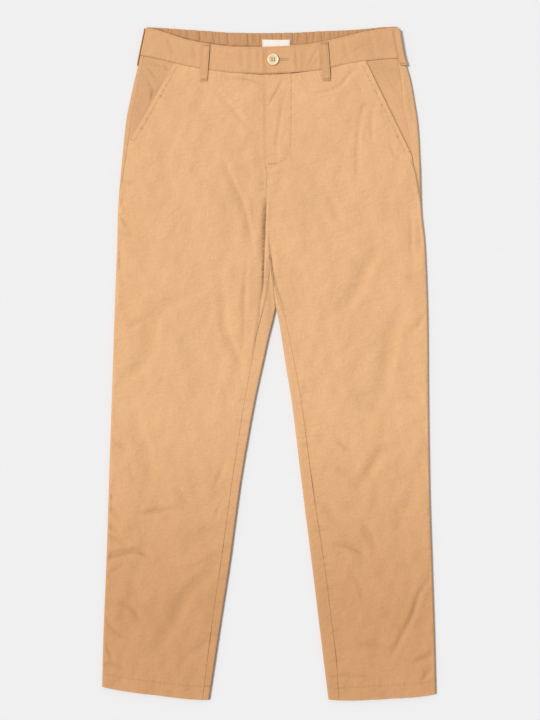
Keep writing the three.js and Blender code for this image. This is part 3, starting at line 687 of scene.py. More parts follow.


# %% [markdown]
# ## Cotton finishes
# One function lays out a cotton material, because they differ only in values: the panels are painted darker from the
# thighs to the hems, mostly as painted light falloff with a slight real shift in colour, the waistband is pressed
# flatter, its gathered inside is painted darker for the shade it lies in, and the pocketing is a plain, dull weave.
# The sheen is the same all over, so it is set on the shader itself.


# %% Cotton material
def cotton(name, shade, low_shade=None, rib=0.55, weave=0.00012, crumple=0.0014, crumple_size=9.0, rubbed=0.06,
           sheen=0.25, rough=0.82, places="UV"):
    made, n, shader = new_material(name)
    vector, base = n.places(places), shade
    # low_shade is blended in from the thighs down to the hems: mostly painted light falloff, with a slight real shift
    # in colour.
    if low_shade is not None:
        height = n.add("ShaderNodeSeparateXYZ", {0: n.places("Object")}).outputs["Y"]
        base = n.mix(n.spread(height, -0.07, -0.36), shade, low_shade)
    tone = n.group(TONE, {"Vector": vector, "Colour": base, "Mottle": 0.07})
    # wear carries painted shade from the seam values, as well as the paler rubbed edges.
    wear = n.group(SHADE_AND_WEAR, {
        "Colour": tone["Colour"], "Vector": vector, "Seam": n.kept("seam"), "Edge": n.kept("wear"),
        "Rubbed": rubbed, "Seam depth": 0.7,
    })
    twill = n.group(TWILL, {"Vector": vector, "Rib width mm": rib})
    creased = n.group(CRUMPLE, {"Vector": vector, "Size mm": crumple_size})
    fine = n.bump(twill["Height"], weave, Strength=0.7)
    matt = n.spread(tone["Matt"], 0, 1, rough - 0.05, rough + 0.06)
    n.fill(shader, {
        "Base Color": wear["Colour"], "Roughness": n.less(matt, n.times(wear["Worn"], 0.3)),
        "Normal": n.bump(creased["Height"], crumple, Strength=1.0, Normal=fine),
        "Sheen Weight": sheen, "Sheen Roughness": 0.45, "Sheen Tint": (1.0, 0.9, 0.78, 1.0),
        "Specular IOR Level": 0.25,
    })
    return made


# SHIN is darker than THIGH: mostly painted light falloff, with a slight real shift in colour.
THIGH, SHIN = colour(226, 176, 128), colour(205, 153, 106)
panel_cotton = cotton("sand_twill", THIGH, SHIN)
band_cotton = cotton("waistband_twill", colour(219, 168, 120), crumple=0.0007, crumple_size=7.0)
# The gathered inside of the back band is painted darker for the shade that it lies in.
gathered_cotton = cotton("gathered_twill", colour(200, 149, 104), crumple=0.0009, crumple_size=6.0)
facing_cotton = cotton("pocket_facing_twill", colour(222, 171, 124), crumple=0.0008)
loop_cotton = cotton("belt_loop_twill", colour(217, 167, 119), crumple=0.0004, crumple_size=5.0, rubbed=0.15)
hidden_cotton = cotton("fly_shield_twill", colour(214, 164, 118), places="Object")
pocketing = cotton("pocketing", colour(212, 176, 134), rib=0.4, weave=0.00008, crumple=0.0012, crumple_size=14.0,
                   sheen=0.1, rough=0.9, places="Object")
print("cotton finishes:", ", ".join(m.name for m in bpy.data.materials))


# %% Thread, label tape and button plastic
def thread_material(name, shade):
    """Spun thread: a fine twist along each stitch and a faint gloss."""
    made, n, shader = new_material(name)
    vector = n.places("Object")
    twist = n.bands(n.scaled(vector, (1000, 1000, 1000), 0.7), 1.6, "DIAGONAL", 0.8)
    patchy = n.spread(n.noise(vector, 180.0), 0.3, 0.7, 0.6, 1.0)
    n.fill(shader, {
        "Base Color": n.mix(n.times(twist, patchy), darker(shade, 0.72), shade),
        "Roughness": n.spread(twist, 0, 1, 0.7, 0.5), "Normal": n.bump(twist, 0.00008), "Sheen Weight": 0.2,
    })
    return made


def tape_material(name, shade):
    """Woven label tape: close ribs across it, a fine thread along it, satin."""
    made, n, shader = new_material(name)
    vector = n.scaled(n.places("UV"), (1000, 1000, 1000))
    ribs, warp = n.bands(vector, 0.7, "Y", 0.4), n.bands(vector, 1.3, "X", 0.4)
    height = n.plus(n.times(ribs, 0.65), n.times(warp, 0.35))
    woven = n.mix(n.spread(height, 0.1, 0.8), darker(shade, 0.88), shade)
    n.fill(shader, {
        # The seam values are painted shade along the stitched ends of the tape.
        "Base Color": n.mix(n.times(n.kept("seam"), 0.4), woven, (0.45, 0.36, 0.25, 1)),
        "Roughness": n.spread(ribs, 0, 1, 0.62, 0.48), "Normal": n.bump(height, 0.00012), "Sheen Weight": 0.15,
    })
    return made


def button_material():
    """Cast polyester made to look like horn: cloudy cream, polished on the rim, duller and deeper in the well."""
    made, n, shader = new_material("button_polyester")
    vector, well = n.places("Object"), n.kept("well")
    clouds = n.spread(n.noise(vector, 160.0, 4.0, 0.6, 1.4), 0.35, 0.7)
    cream = n.mix(clouds, colour(244, 217, 176), colour(250, 230, 196))
    deep = n.mix(clouds, colour(219, 196, 156), colour(229, 207, 168))
    scuffs = n.noise(vector, 900.0, 3.0, 0.7)
    n.fill(shader, {
        "Base Color": n.mix(well, cream, deep), "Normal": n.bump(scuffs, 0.00003),
        "Roughness": n.plus(n.spread(scuffs, 0.4, 0.7, 0.16, 0.34), n.times(well, 0.12)),
        "Coat Weight": 0.3, "Subsurface Weight": 0.08, "Subsurface Scale": 0.002,
    })
    return made


seam_thread = thread_material("sewing_thread", colour(228, 180, 132))
button_thread = thread_material("button_thread", colour(206, 198, 172))
label_tape = tape_material("label_tape", colour(254, 250, 240))
label_thread = thread_material("label_thread", colour(232, 222, 200))
button_plastic = button_material()
print("materials:", len(bpy.data.materials))


# %% [markdown]
# ## The creases of the two front panels
# These are the folds that the garment shows: the deep one beside the middle seam, pulled down from the fly, the
# fans at the pocket mouths and the crotch, the long soft ones over the thighs, and the short sharp ones where the
# shins were folded in a drawer. Each row is a crease with its own size. Rows with a depth below zero are ridges.

# %% Crease tables: depth, first width, second width, sharpness, then x and down of each point
FLY_CREASES = [
    (0.8, 2, 1.4, 1.4, 20.6, 74.6, 16, 87.7, 11.2, 97.3, 5.6, 106.8, 1.9, 114.4, -2.9, 118.1),
    (0.35, 2, 2, 2, 31.3, 73.1, 22.7, 80.2, 16, 88),
    (0.35, 3, 2.4, 2, 27, 92, 24.1, 104, 18.2, 126.3, 16.4, 145.6, 13.2, 163.5, 12, 182.8, 13.7, 200),
    (0.4, 2.5, 2, 2, -60, 77, -41.2, 78.8, -26.4, 80.2, -10.9, 83.5),
    (0.4, 5, 4, 2, -79.9, 93.6, -35.3, 141.9, -24.9, 153.1), (0.2, 3, 3, 2, -72.4, 111.5, -57.6, 126.3),
    (0.3, 2, 1.4, 1.6, -1.1, 207.4, 3.3, 208.3, 13, 205.5, 19, 202.5),
    (0.45, 1.6, 1.6, 2, -13, 233.5, -8, 232, -4, 233), (0.45, 1.6, 1.6, 2, -12, 242.5, -7, 241.5, -4, 242.5),
    (0.2, 1.4, 1.4, 2, -11.5, 221, -8, 220, -4, 221.5), (0.2, 1.8, 1.8, 2, -3, 214, 9, 219, 24, 216),
]
MIDDLE_CREASES = [
    (0.6, 8, 4, 2, -65.6, 199.9, -51.6, 235.8, -42, 254.8, -34.4, 277.6, -29.6, 300.2, -24.9, 319.5, -23, 335),
    (0.2, 2.5, 2, 2, -22.9, 249.6, -22.5, 273.4),
    (0.4, 5, 3.5, 2, -31, 340, -32.5, 353.5, -34.4, 372.4, -35.3, 400.9, -36.5, 440, -37.1, 470),
    (0.6, 9, 6, 2, -69, 380, -67, 420, -65, 450.3, -53.9, 476.3, -39, 508),
    (0.3, 1.6, 4, 2, 0.7, 308, 1.7, 327, 4.5, 344, 6.3, 359, 9.3, 372.4, 14.9, 391.4, 22.5, 410),
]
RIGHT_CREASES = [
    (0.35, 3, 3, 2, -216, 229, -206, 232, -197, 230), (0.35, 3, 3, 2, -221, 282, -214, 290, -207, 301),
    (0.8, 15, 10, 2, -117, 398, -143, 409.4, -165.3, 428, -172.7, 457.7, -180.2, 491, -200, 512),
    (0.5, 6, 5, 2, -180, 436, -192, 438, -206, 444), (0.5, 10, 8, 2, -209.9, 513.4, -196, 508, -183.9, 502.3),
    (0.6, 12, 8, 2, -195, 569, -191.3, 606.3, -180.2, 628.6, -176.4, 673.2),
    (0.6, 6, 6, 2, -232, 612, -221, 618, -209.9, 628.6), (0.4, 4, 4, 2, -65, 647, -72, 664, -79.9, 684.3),
    (0.4, 6, 5, 2, -135.6, 688, -117, 706.6), (0.35, 3, 3, 2, -68.7, 706.6, -75, 718, -79.9, 734),
    (0.3, 4, 4, 2, -237.4, 695.4, -228.5, 701),
    (0.85, 4.5, 5, 2, -193, 725, -180, 721.5, -169, 719.6, -150.4, 717, -138, 716),
    (0.45, 5, 5, 2, -237, 713, -228, 720, -221, 728), (0.7, 3.5, 3.5, 2, -238, 741, -230, 745, -222, 750.5),
    (0.7, 4, 3.5, 2, -238, 756, -224, 762, -210, 769),
    (1.25, 4, 6, 2, -242, 790, -235.9, 788.3, -224.7, 784.6, -202.4, 779, -188, 781, -178, 788),
    (0.5, 4, 4, 2, -238, 815, -228.5, 806.9, -213.6, 801.3),
    (0.6, 6, 5, 2, -236, 859, -213.6, 857, -198.7, 866.3, -191.3, 885),
    (0.6, 5, 5, 2, -241, 879, -230.3, 896, -209.9, 907.2), (0.5, 3.5, 3.5, 2, -241, 918, -236, 930, -230, 944),
    (0.6, 4, 4, 2, -243, 947, -232, 948, -221, 950, -209.9, 956),
    (0.45, 12, 10, 2, -120, 766, -109.6, 756, -87.3, 748, -62, 749),
    (0.75, 12, 9, 2, -70, 800, -102.1, 821.8, -120.7, 844, -139.3, 881.2, -150.4, 899.8, -174, 931),
    (0.45, 7, 6, 2, -88, 913, -103, 924, -117, 933.2, -128, 948),
    (-0.5, 14, 12, 2, -222, 684, -205, 694, -184, 708), (-0.45, 11, 11, 2, -206.2, 821.8, -214, 838, -220, 848),
    (-0.5, 8, 8, 2, -128, 799.5, -87.3, 780.9, -66, 768), (-0.4, 12, 12, 2, -100, 862, -92, 880, -96, 900),
    (-0.35, 14, 14, 2, -160, 440, -140, 470, -136, 500), (-0.35, 10, 10, 2, -222, 650, -205, 648),
]
LEFT_CREASES = [
    (0.5, 3.5, 3, 2, 143.8, 60.8, 133.7, 61.7, 124.5, 65.4, 117, 74.6, 108, 86.2, 91, 95.1, 68.7, 99.2),
    (0.45, 4, 3.5, 2, 163.2, 106.1, 154, 115.3, 142.9, 119, 137.4, 130.2, 134.6, 146.8, 131.8, 183.8, 131.8, 228),
    (0.45, 3, 3, 2, 155.8, 109.8, 154, 126.3, 153.1, 141.2, 154, 170),
    (0.55, 3, 3, 2, 168.7, 122.7, 178.1, 141.2, 179.9, 156, 182.7, 176.4, 186.4, 189.3, 194.7, 194.8),
    (0.5, 3, 3, 2, 211.4, 267.5, 212.9, 341.8), (0.4, 8, 7, 2, 92, 250, 104, 285, 118, 300),
    (0.75, 12, 9, 2, 158, 326, 154.2, 338.8, 143, 364.8, 128.2, 394.6, 108, 416, 87.3, 431.7),
    (0.4, 14, 12, 2, 104, 378, 124, 392, 136, 396),
    (0.85, 15, 11, 2, 196, 420, 183.9, 454, 176.5, 491, 169, 539.4, 150, 572),
    (0.45, 10, 9, 2, 122, 552, 138, 550, 158, 545), (0.3, 8, 8, 2, 135.6, 454, 118, 474, 98.5, 494.9),
    (0.4, 9, 8, 2, 193, 555, 206, 550, 222, 551), (0.45, 6, 6, 2, 208, 452, 220, 446, 232, 430),
    (0.35, 7, 7, 2, 190, 512, 204, 508, 214, 506),
    (0.85, 10, 8, 2, 190, 622, 184, 626.7, 169, 630, 150.5, 658.3, 135.6, 680.6, 128, 690),
    (0.5, 6, 6, 2, 102.2, 613.7, 114, 622, 128.2, 628.6), (0.6, 9, 8, 2, 100, 652, 112, 660, 128, 664),
    (0.4, 9, 9, 2, 76, 706, 90, 718, 102, 736), (0.35, 9, 9, 2, 112, 708, 124, 712, 134, 714),
    (0.75, 7, 6, 2, 139, 742, 148, 751, 154.2, 762.3, 158, 775),
    (0.85, 4.5, 6, 2, 100, 770, 108, 769.5, 117, 771.6, 128, 776, 141, 782),
    (0.4, 14, 11, 2, 213.6, 695.5, 198.8, 717.7, 187.6, 740, 180.2, 757),
    (0.35, 10, 9, 2, 162, 777, 168, 800, 172.7, 825.5),
    (1, 5, 4, 1.8, 240, 820, 235.9, 825.5, 224.8, 840.4, 213.6, 873.8, 198.8, 903.5, 183.9, 933.2),
    (0.7, 6, 6, 2, 135, 921, 148, 919, 161.6, 918.4, 180.2, 925.8),
    (1.1, 4.5, 4.5, 2, 217, 943, 230, 938, 245, 930), (0.7, 4, 4, 2, 229, 969, 236, 962, 246, 953),
    (0.45, 6, 5, 2, 103, 963, 122, 964, 145, 965), (0.3, 5, 5, 2, 120, 812, 134, 826, 140, 850),
    (0.3, 9, 9, 2, 130, 945, 150, 944, 166, 950), (-0.45, 12, 12, 2, 124.5, 784, 128, 797, 124, 808),
    (-0.5, 13, 13, 2, 126, 580, 155, 590, 184, 596), (-0.4, 10, 10, 2, 178, 646, 172, 662),
    (-0.4, 12, 10, 2, 158, 684, 150, 702, 144, 716), (-0.3, 12, 12, 2, 112, 434, 124, 448),
]
ALL_CREASES = FLY_CREASES + MIDDLE_CREASES + RIGHT_CREASES + LEFT_CREASES
# Painted shade on the panels: strength, first width, second width, then x and down of each point. It darkens folds, the
# crotch, the fly, the hems and the cloth beside the belt loops.
FRONT_SHADES = [
    (1.25, 5, 1.2, -4, 258, -4.5, 268, -4.8, 279.4, -5.2, 295.7, -5.7, 310, -6.6, 328, -7.2, 345),
    (1.5, 2.6, 1.2, -6.2, 312, -7, 338.8, -7.9, 361, -8.5, 383.4, -11.6, 404),
    (0.6, 3.2, 1.2, -9.4, 386, -12.2, 406.6, -14.4, 430, -18.5, 455, -23, 490),
    (0.6, 1.3, 3.4, 0, 322, 1.1, 338.8, 3.6, 361, 6.5, 373, 9.2, 384),
    (0.5, 1.3, 2.2, 8.5, 380, 12.8, 393, 17, 405.7, 21.5, 420),
    (0.7, 1, 1, 2.4, 356, -1.9, 383.4, -5.8, 405.7, -12.2, 433), (0.3, 1.3, 1.3, -11, 234, -8, 232.6, -4.5, 233.4),
    (0.3, 1.3, 1.3, -12, 243, -8, 241.8, -4.5, 242.6),
    (0.3, 1, 1, -4.8, 201.8, 3, 202.2, 9.3, 201.8, 21, 199.2, 28, 195),
    (0.3, 2.4, 1, -6.3, 73, -6.5, 120, -6.6, 160, -6.2, 202),
    (0.6, 0.9, 0.9, -5, 203, -3.6, 213, -2.2, 222, -3.6, 233, -4.2, 246, -4, 256),
    (1, 1.5, 1.5, 210.5, 198, 217, 211.5, 220.8, 230, 223.4, 248.5, 226, 260),
    (0.55, 2.4, 2.4, -241, 789, -224.7, 785.5, -202.4, 780, -182, 785),
    (0.42, 2.4, 2.4, -190, 723, -170, 720, -148, 717), (0.4, 2.4, 2.4, 102, 770.5, 117, 772.4, 139, 781.5),
    (0.4, 2.5, 2.5, 219, 942.5, 230, 938.5, 244, 931),
    (0.3, 2.2, 1.6, 230, 835, 224.8, 841, 213.6, 874.4, 200, 902), (0.5, 1.2, 1.2, -98, 966.2, -87, 966.2),
    (0.6, 1.1, 1.1, -97, 979, -85.5, 979), (0.35, 1.4, 1.4, 89, 966.6, 99, 965),
    (0.22, 1.4, 1.4, -237, 742, -222, 751), (0.22, 1.4, 1.4, -237, 757, -212, 768.5),
    (0.3, 1.2, 1.2, 20, 75.5, 15.5, 87.7, 10.8, 97.3, 5.4, 106.8), (0.3, 4.5, 4.5, -158, 58, -151, 62, -147, 68),
    (0.26, 4.5, 2.6, -65.6, 205, -51.6, 235.8, -42, 254.8, -34.4, 277.6, -29.6, 300.2, -24.9, 322),
    (0.3, 1.6, 1.6, -57, 74.3, -39, 76, -24, 80, -7, 86.5),
    (0.22, 3, 3, -234, 857, -217, 859, -202.4, 866.3, -191, 885),
    (0.26, 2.4, 2.4, -237.7, 888.6, -224.7, 901.6, -208, 911), (0.26, 1.8, 1.8, -241, 946, -228, 949, -214, 954),
    (0.2, 4, 4, 139, 743, 150, 752, 158, 772), (0.2, 3, 3, 138, 920.5, 161.6, 918.5, 180, 924),
    (0.25, 2.4, 2.4, 101, 962, 122, 963.5, 145, 965), (0.18, 3, 3, -206, 444, -190, 437.5, -177, 436),
    (0.2, 3, 3, -231, 618, -220, 624, -209, 629), (0.16, 3, 3, 101, 617.5, 118, 625, 135, 630),
    (0.42, 4, 4.5, -3.3, 348, -2.6, 361, -1.1, 383.4, 0.8, 405.7, 1.4, 424, -1, 450),
    (0.25, 3, 3, -215, 229, -206, 232, -197, 230), (0.25, 3, 3, -221, 282, -214, 290, -207, 301),
    (0.2, 3, 3, -221, 305, -213, 309, -205, 308), (0.18, 4, 4, 189, 365, 205, 372, 223, 366),
    (0.14, 5, 5, 194, 556, 208, 551, 223, 556), (0.2, 5, 3.5, -66, 438, -60, 462, -52, 480, -40, 505),
    (0.14, 7, 6, -114, 763, -100, 750, -74, 746), (0.13, 9, 9, 124, 556, 146, 560, 168, 574),
    (0.3, 4.5, 4.5, 203.4, 62, 206, 92, 209.5, 122, 211.5, 138), (0.7, 0.9, 0.9, -90.2, 62, -91, 72, -91.4, 82),
    (0.5, 1, 1, -103.5, 81, -97, 81.4, -91, 81), (0.5, 0.9, 0.9, 79.2, 62, 79.8, 72, 80.2, 81),
    (0.4, 0.9, 0.9, 91.4, 62, 92.2, 72, 92.5, 81), (0.5, 1, 1, 80, 80.6, 86, 81, 92.5, 80.4),
]
print(f"{len(ALL_CREASES)} creases and ridges by hand")

# %% [markdown]
# ## Seam lines
# A line of stitches is a thin groove with a thread in it, and the cloth beside it ripples, because the thread is
# drawn a little tighter than the cloth. The lines are named here once, so that the groove, the ripples and the
# stitches all follow the same one.

# %% Seam and stitch lines on the plan
FLY_STITCH = smooth_line([33.6, 72.5, 33.8, 110, 33.2, 150, 32.6, 175, 29.5, 184.5, 24, 194.5, 15.5, 201])
FLY_EDGE_STITCH = smooth_line([-3.9, 71, -3.9, 120, -3.9, 196])


def mouth_line(half, inwards, start=0.0, stop=1.0):
    """A line beside the pocket mouth, this far in on the front panel."""
    (x0, d0), (x1, d1) = half.mouth_top, half.mouth_foot
    length = np.hypot(x1 - x0, d1 - d0)
    step_x, step_down = (x1 - x0) / length, (d1 - d0) / length
    off_x, off_down = half.to_inside * abs(step_down) * inwards, abs(step_x) * inwards
    ends = [(lerp(x0, x1, t) + off_x, lerp(d0, d1, t) + off_down) for t in np.linspace(start, stop, 6)]
    return smooth_line(np.ravel(ends))


def edge_line(half, inwards, start, stop, step=15.0):
    """A line that keeps this far from the leg's inner edge."""
    downs = np.arange(start, stop, step)
    return smooth_line(np.ravel(np.stack([half.inner(downs) - half.to_inside * inwards(downs), downs], -1)))


def hem_line(half, up):
    row = row_facts(half, np.array([[1 - up / (half.hem[1] - half.waist[1])]]))
    x, down = on_plan(half, row, np.linspace(0.5, float(row.width[0, 0]) - 0.5, 40)[None])
    order = np.argsort(x[0])
    return np.stack([x[0][order], down[0][order]], -1)


# %% Pocket mouth, inseam, middle and side lines of each half
LINES = {}
for half in (RIGHT, LEFT):
    fold = lambda down, half=half: inner_fold(down) + half.in_seam(down) - np.pi / 2 * LEG_RISE / 2 + inner_inset(down)
    LINES[half.side] = SimpleNamespace(
        mouth=mouth_line(half, 0.0), topstitch=mouth_line(half, 6.6, 0.01, 0.97),
        inseam=edge_line(half, fold, 350, 998), hem=hem_line(half, HEM_HEIGHT - 1.5),
        side=smooth_line(np.ravel([(float(half.outer(d)) + half.to_inside * 2.5, d) for d in range(215, 990, 25)])),
    )
MIDDLE_SEAM = smooth_line([-4.4, 203, -2.8, 215, -3, 225, -3.2, 268, -0.5, 318, 2.2, 343])
print("stitch and seam lines ready")


# %% [markdown]
# ## Front panels
# On the real garment each front is one piece of twill from the waist seam to the hem. It is sewn to the back along
# the side and the inseam, cut away at the slant pocket, and the wearer's left one laps over the right at the fly.
# The shell follows the same rows as the solid. Its columns are close together at the pocket mouth, the fly and the
# seams, where the form changes within millimetres, and wider over the thigh.


# %% Pocket mouth and the inner end of a front panel
def mouth_distance(half, row):
    """Distance along each row from the side edge to the pocket mouth."""
    (top_x, top_down), (foot_x, foot_down) = half.mouth_top, half.mouth_foot
    distance = 0.3 * row.width
    for _ in range(8):
        x, down = on_plan(half, row, distance)
        mouth_x = lerp(top_x, foot_x, np.minimum((down - top_down) / (foot_down - top_down), 1))
        distance = distance + half.to_inside * (mouth_x - x)
    return distance


def front_inner_end(half, row):
    """Distance of a front panel's inner end from the middle line, or from the leg's inner edge."""
    down = row.inner_down
    retreat = 2.05 * smooth(down, CROTCH - 5, CROTCH)
    inseam = inner_fold(down) + half.in_seam(down) - np.pi / 2 * LEG_RISE / 2
    below = np.maximum(inseam + inner_inset(down), retreat) + SEAM_GAP / 2
    underlap = 4 * (1 - smooth(down, 176, 200)) if half.to_inside > 0 else 0
    return np.where(down >= CROTCH, below, SEAM_GAP / 2 + retreat - underlap)


def fly_step(half, x, down):
    """The left front laps over at the fly, and the right front goes under it."""
    length = 1 - smooth(down, 204, 228)
    if half.to_inside > 0:
        return -1.35 * length * smooth(x, FLY_EDGE - 20, FLY_EDGE - 1)
    return 0.3 * length * (1 - smooth(x, FLY_EDGE + 31, FLY_EDGE + 41))


def layers_below(half, x, down):
    """Lowest that the middle of a front panel may lie, above the layers that are under it there."""
    top_x, foot_x = half.mouth_top[0], half.mouth_foot[0]
    mouth_x = lerp(top_x, foot_x, np.clip((down - half.mouth_top[1]) / (half.mouth_foot[1] - half.mouth_top[1]), 0, 1))
    from_mouth = (x - mouth_x) * half.to_inside
    on_facing = (1 - smooth(from_mouth, 24, 30)) * (1 - smooth(down, half.mouth_foot[1], half.mouth_foot[1] + 6))
    on_bag = (1 - smooth(from_mouth, 100, 112)) * (1 - smooth(down, 255, 268))
    on_shield = smooth(x, -19, -17) * (1 - smooth(x, 33, 36)) * (1 - smooth(down, 206, 210))
    lowest = lerp(2.05, 3.2, np.maximum(on_bag, on_shield))
    return lerp(lowest, 4.78, on_facing)


# %% The fold beside the middle seam
MIDDLE_FOLD = smooth_line([-3.2, 250, -3.5, 264, -4.1, 279.4, -4.6, 295.7, -5.1, 312, -6.1, 336, -6.9, 361, -8.2, 383.4,
                           -11.2, 405.7, -14, 425, -18.3, 448, -22, 480])
CREASE_STRENGTH = 3.2


def middle_fold(x, down):
    """The cloth slopes down from the right leg and tucks under a lip: gradual on one side, steep on the other."""
    depth = np.zeros(np.shape(x))
    here, along, side, length = near_line(MIDDLE_FOLD, x, down, 30)
    strength = smooth(along, 0, 16) * (1 - 0.3 * smooth(along, 70, 110)) * (1 - smooth(along, 125, 0.92 * length))
    slope = np.where(side > 0, np.exp(-((np.abs(side) / 5.5) ** 1.15)), bell(side, 0.9))
    lip = np.where(side < 0, 0.35 * bell(side + 3.5, 2.6), 0)
    depth[here] = strength * (2.7 * slope - lip)
    return depth


# %% Depth and shade of everything that shapes a front panel
WAIST_LINE = smooth_line(np.ravel([(c, float(front_seam(float(c))) + 1.5) for c in range(-190, 205, 12)]))


def front_depth(half, x, down):
    lines = LINES[half.side]
    seed = 1.0 if half.side == "right" else 2.0
    folds = CREASE_STRENGTH * creases(ALL_CREASES, x, down)
    depth = folds + middle_fold(x, down)
    depth -= swells(x, down, 11, (55, 150), 0.7) + swells(x, down, 12, (22, 48), 0.36)
    stitched = ripples(lines.topstitch, x, down, 10.5, 6, 5, 1.0, seed, 0.3)
    depth += groove(lines.topstitch, x, down, 0.9, 0.3) + stitched
    depth += ripples(lines.mouth, x, down, 9.5, 9, 9, 0.3, seed + 4)
    puckers = ripples(lines.inseam, x, down, 9.4, 12, 15, 1.5 if half.side == "left" else 1.1, seed + 1)
    depth += puckers * smooth(down, 400, 560)
    depth += ripples(lines.side, x, down, 14.0, 14, 14, 1.2, seed + 2)
    depth += ripples(lines.hem, x, down, 7.5, 8, 11, 0.5, seed + 3)
    depth += groove(lines.hem, x, down, 1.1, 0.45)
    depth += ripples(MIDDLE_SEAM, x, down, 8.0, 7, 4, 0.7, 3.0) * (1 - smooth(down, 245, 262))
    depth += ripples(WAIST_LINE, x, down, 8.0, 10, 5, 0.6, 5.0)
    # Painted shade: along the topstitch, hem, fly and inseam stitches, in the crease and pucker hollows, and from the
    # table of painted shade.
    painted_shade = groove(lines.topstitch, x, down, 0.8, 0.1) + groove(lines.hem, x, down, 1.0, 0.2)
    if half.side == "left":
        sewn = ripples(FLY_STITCH, x, down, 8.5, 4, 5, 0.8, 6.0)
        depth += groove(FLY_STITCH, x, down, 0.9, 0.3) + sewn
        depth += groove(FLY_EDGE_STITCH, x, down, 0.6, 0.15) + ripples(FLY_EDGE_STITCH, x, down, 9.0, 3, 5, 0.5, 7.0)
        painted_shade += groove(FLY_STITCH, x, down, 0.8, 0.1) + groove(FLY_EDGE_STITCH, x, down, 0.6, 0.08)
        painted_shade += np.maximum(sewn, 0) * groove(FLY_STITCH, x, down, 1.3, 0.6)
    painted_shade += np.maximum(stitched, 0) * groove(lines.topstitch, x, down, 1.6, 1.3)
    painted_shade += 0.05 * np.maximum(folds, 0) + 0.2 * np.maximum(puckers, 0) * smooth(down, 400, 560)
    sewn_depth = (0.42 if half.side == "left" else 0.3) * smooth(down, 440, 640)
    painted_shade += groove(lines.inseam, x, down, 1.3, 1.0) * sewn_depth
    return depth, np.clip(np.maximum(painted_shade, shade(FRONT_SHADES, x, down)), 0, DEEPEST)


# %% Grid and shell of a front panel
OUTER_COLUMNS = [*RIM, 2, 2.8, 3.7, 4.6, 5.3, 5.9, 6.4, 6.9, 7.5, 8.4, 10]
INNER_COLUMNS = [*RIM, 1.9, 2.6, 3.4, 4.4, 5.5, 6.7, 8, 9.5, 11, 13, 15, 17, 19, 21, 23, 25.5, 28, 30.5, 33, 35.5,
                 37, 38, 38.8, 39.5, 40.4, 42]


def front_panel(half):
    row = row_facts(half, leg_shares(half, 1.9, 2.9))
    rise = main_rise(row.outer_down)
    arc_more = (np.pi / 2 - 1) * rise / 2
    seam_arc = half.out_seam(row.outer_down) + SEAM_GAP / 2 + arc_more
    seam_arc = seam_arc - (np.pi / 2 - 1) * side_rise(half, row.outer_down) / 2
    mouth_arc = mouth_distance(half, row) - HALF_CLOTH + arc_more
    is_mouth = row.outer_down < half.mouth_foot[1]
    first = np.where(is_mouth, np.maximum(mouth_arc, seam_arc), seam_arc)
    end = row.width - front_inner_end(half, row)
    last = end - HALF_CLOTH - rise / 2 + np.pi / 2 * rise / 2
    first, last = first - SEAM_CLOSING * ~is_mouth, last + SEAM_CLOSING
    arc = between(first, last, OUTER_COLUMNS, 60, INNER_COLUMNS)
    grid = on_tube(half, row, arc, rise, rise / 2, HALF_CLOTH)
    x, down = grid[..., 0], grid[..., 1]
    on_top = smooth(arc, np.pi / 4 * rise / 2, np.pi * rise / 2)
    depth, painted_shade = front_depth(half, x, down)
    z = grid[..., 2] + (fly_step(half, x, down) - depth) * on_top
    floor = layers_below(half, x, down)
    room = np.maximum(grid[..., 2] - floor, 0.2)
    below = (grid[..., 2] - z) / room
    soft_z = grid[..., 2] - room * np.where(below > 0.6, 0.6 + 0.4 * np.tanh((below - 0.6) / 0.4), below)
    grid[..., 2] = np.where(arc > np.pi / 2 * rise / 2, np.maximum(soft_z, np.minimum(floor, grid[..., 2])), z)
    # Painted shade along the panel's folded outer edge.
    painted_shade = np.clip(painted_shade + 0.4 * bell(arc, 1.6), 0, DEEPEST)
    uv = np.stack([arc, down], -1)
    length = half.hem[1] - half.waist[1]
    in_hem = smooth(row.share * length, length - HEM_HEIGHT, length - HEM_HEIGHT + 1.5)
    from_sides = smooth(arc - first, 4, 7) * smooth(last - arc, 2, 4)
    inner_side = HALF_CLOTH + HEM_EXTRA * in_hem * from_sides
    return cloth_shell(
        f"front_panel_{half.side}", grid, HALF_CLOTH, inner_side, painted_shade, uv=uv, rim=0.35, flip=half.to_inside < 0
    )


front_right, front_left = front_panel(RIGHT), front_panel(LEFT)

# %% [markdown]
# ## Back panels
# Each back is one piece too. It lies on the table, and round both folded edges of the leg it comes up to the side
# seam and the inseam, so a narrow strip of it shows beside each front. Its columns are close together on those
# strips and wide underneath, where it gets a few soft hollows of its own: a garment is creased on both sides.

# %% Creases of the underside
BACK_CREASES = [
    (0.5, 12, 9, 2, -170, 250, -110, 300, -60, 330), (0.4, 8, 8, 2, -60, 180, -48, 260, -20, 300),
    (0.5, 14, 10, 2, -200, 520, -150, 560, -60, 590), (0.4, 9, 12, 2, -60, 610, -110, 640, -190, 650),
    (0.4, 12, 9, 2, -190, 800, -140, 850, -100, 930), (0.35, 8, 8, 2, -220, 900, -180, 940),
    (0.5, 10, 13, 2, 60, 240, 110, 290, 190, 320), (0.4, 9, 8, 2, 40, 170, 50, 250, 20, 300),
    (0.5, 12, 12, 2, 60, 560, 130, 590, 210, 570), (0.4, 9, 9, 2, 70, 650, 120, 690, 200, 700),
    (0.45, 10, 10, 2, 120, 820, 170, 870, 200, 950), (0.35, 8, 8, 2, 100, 900, 130, 950),
]


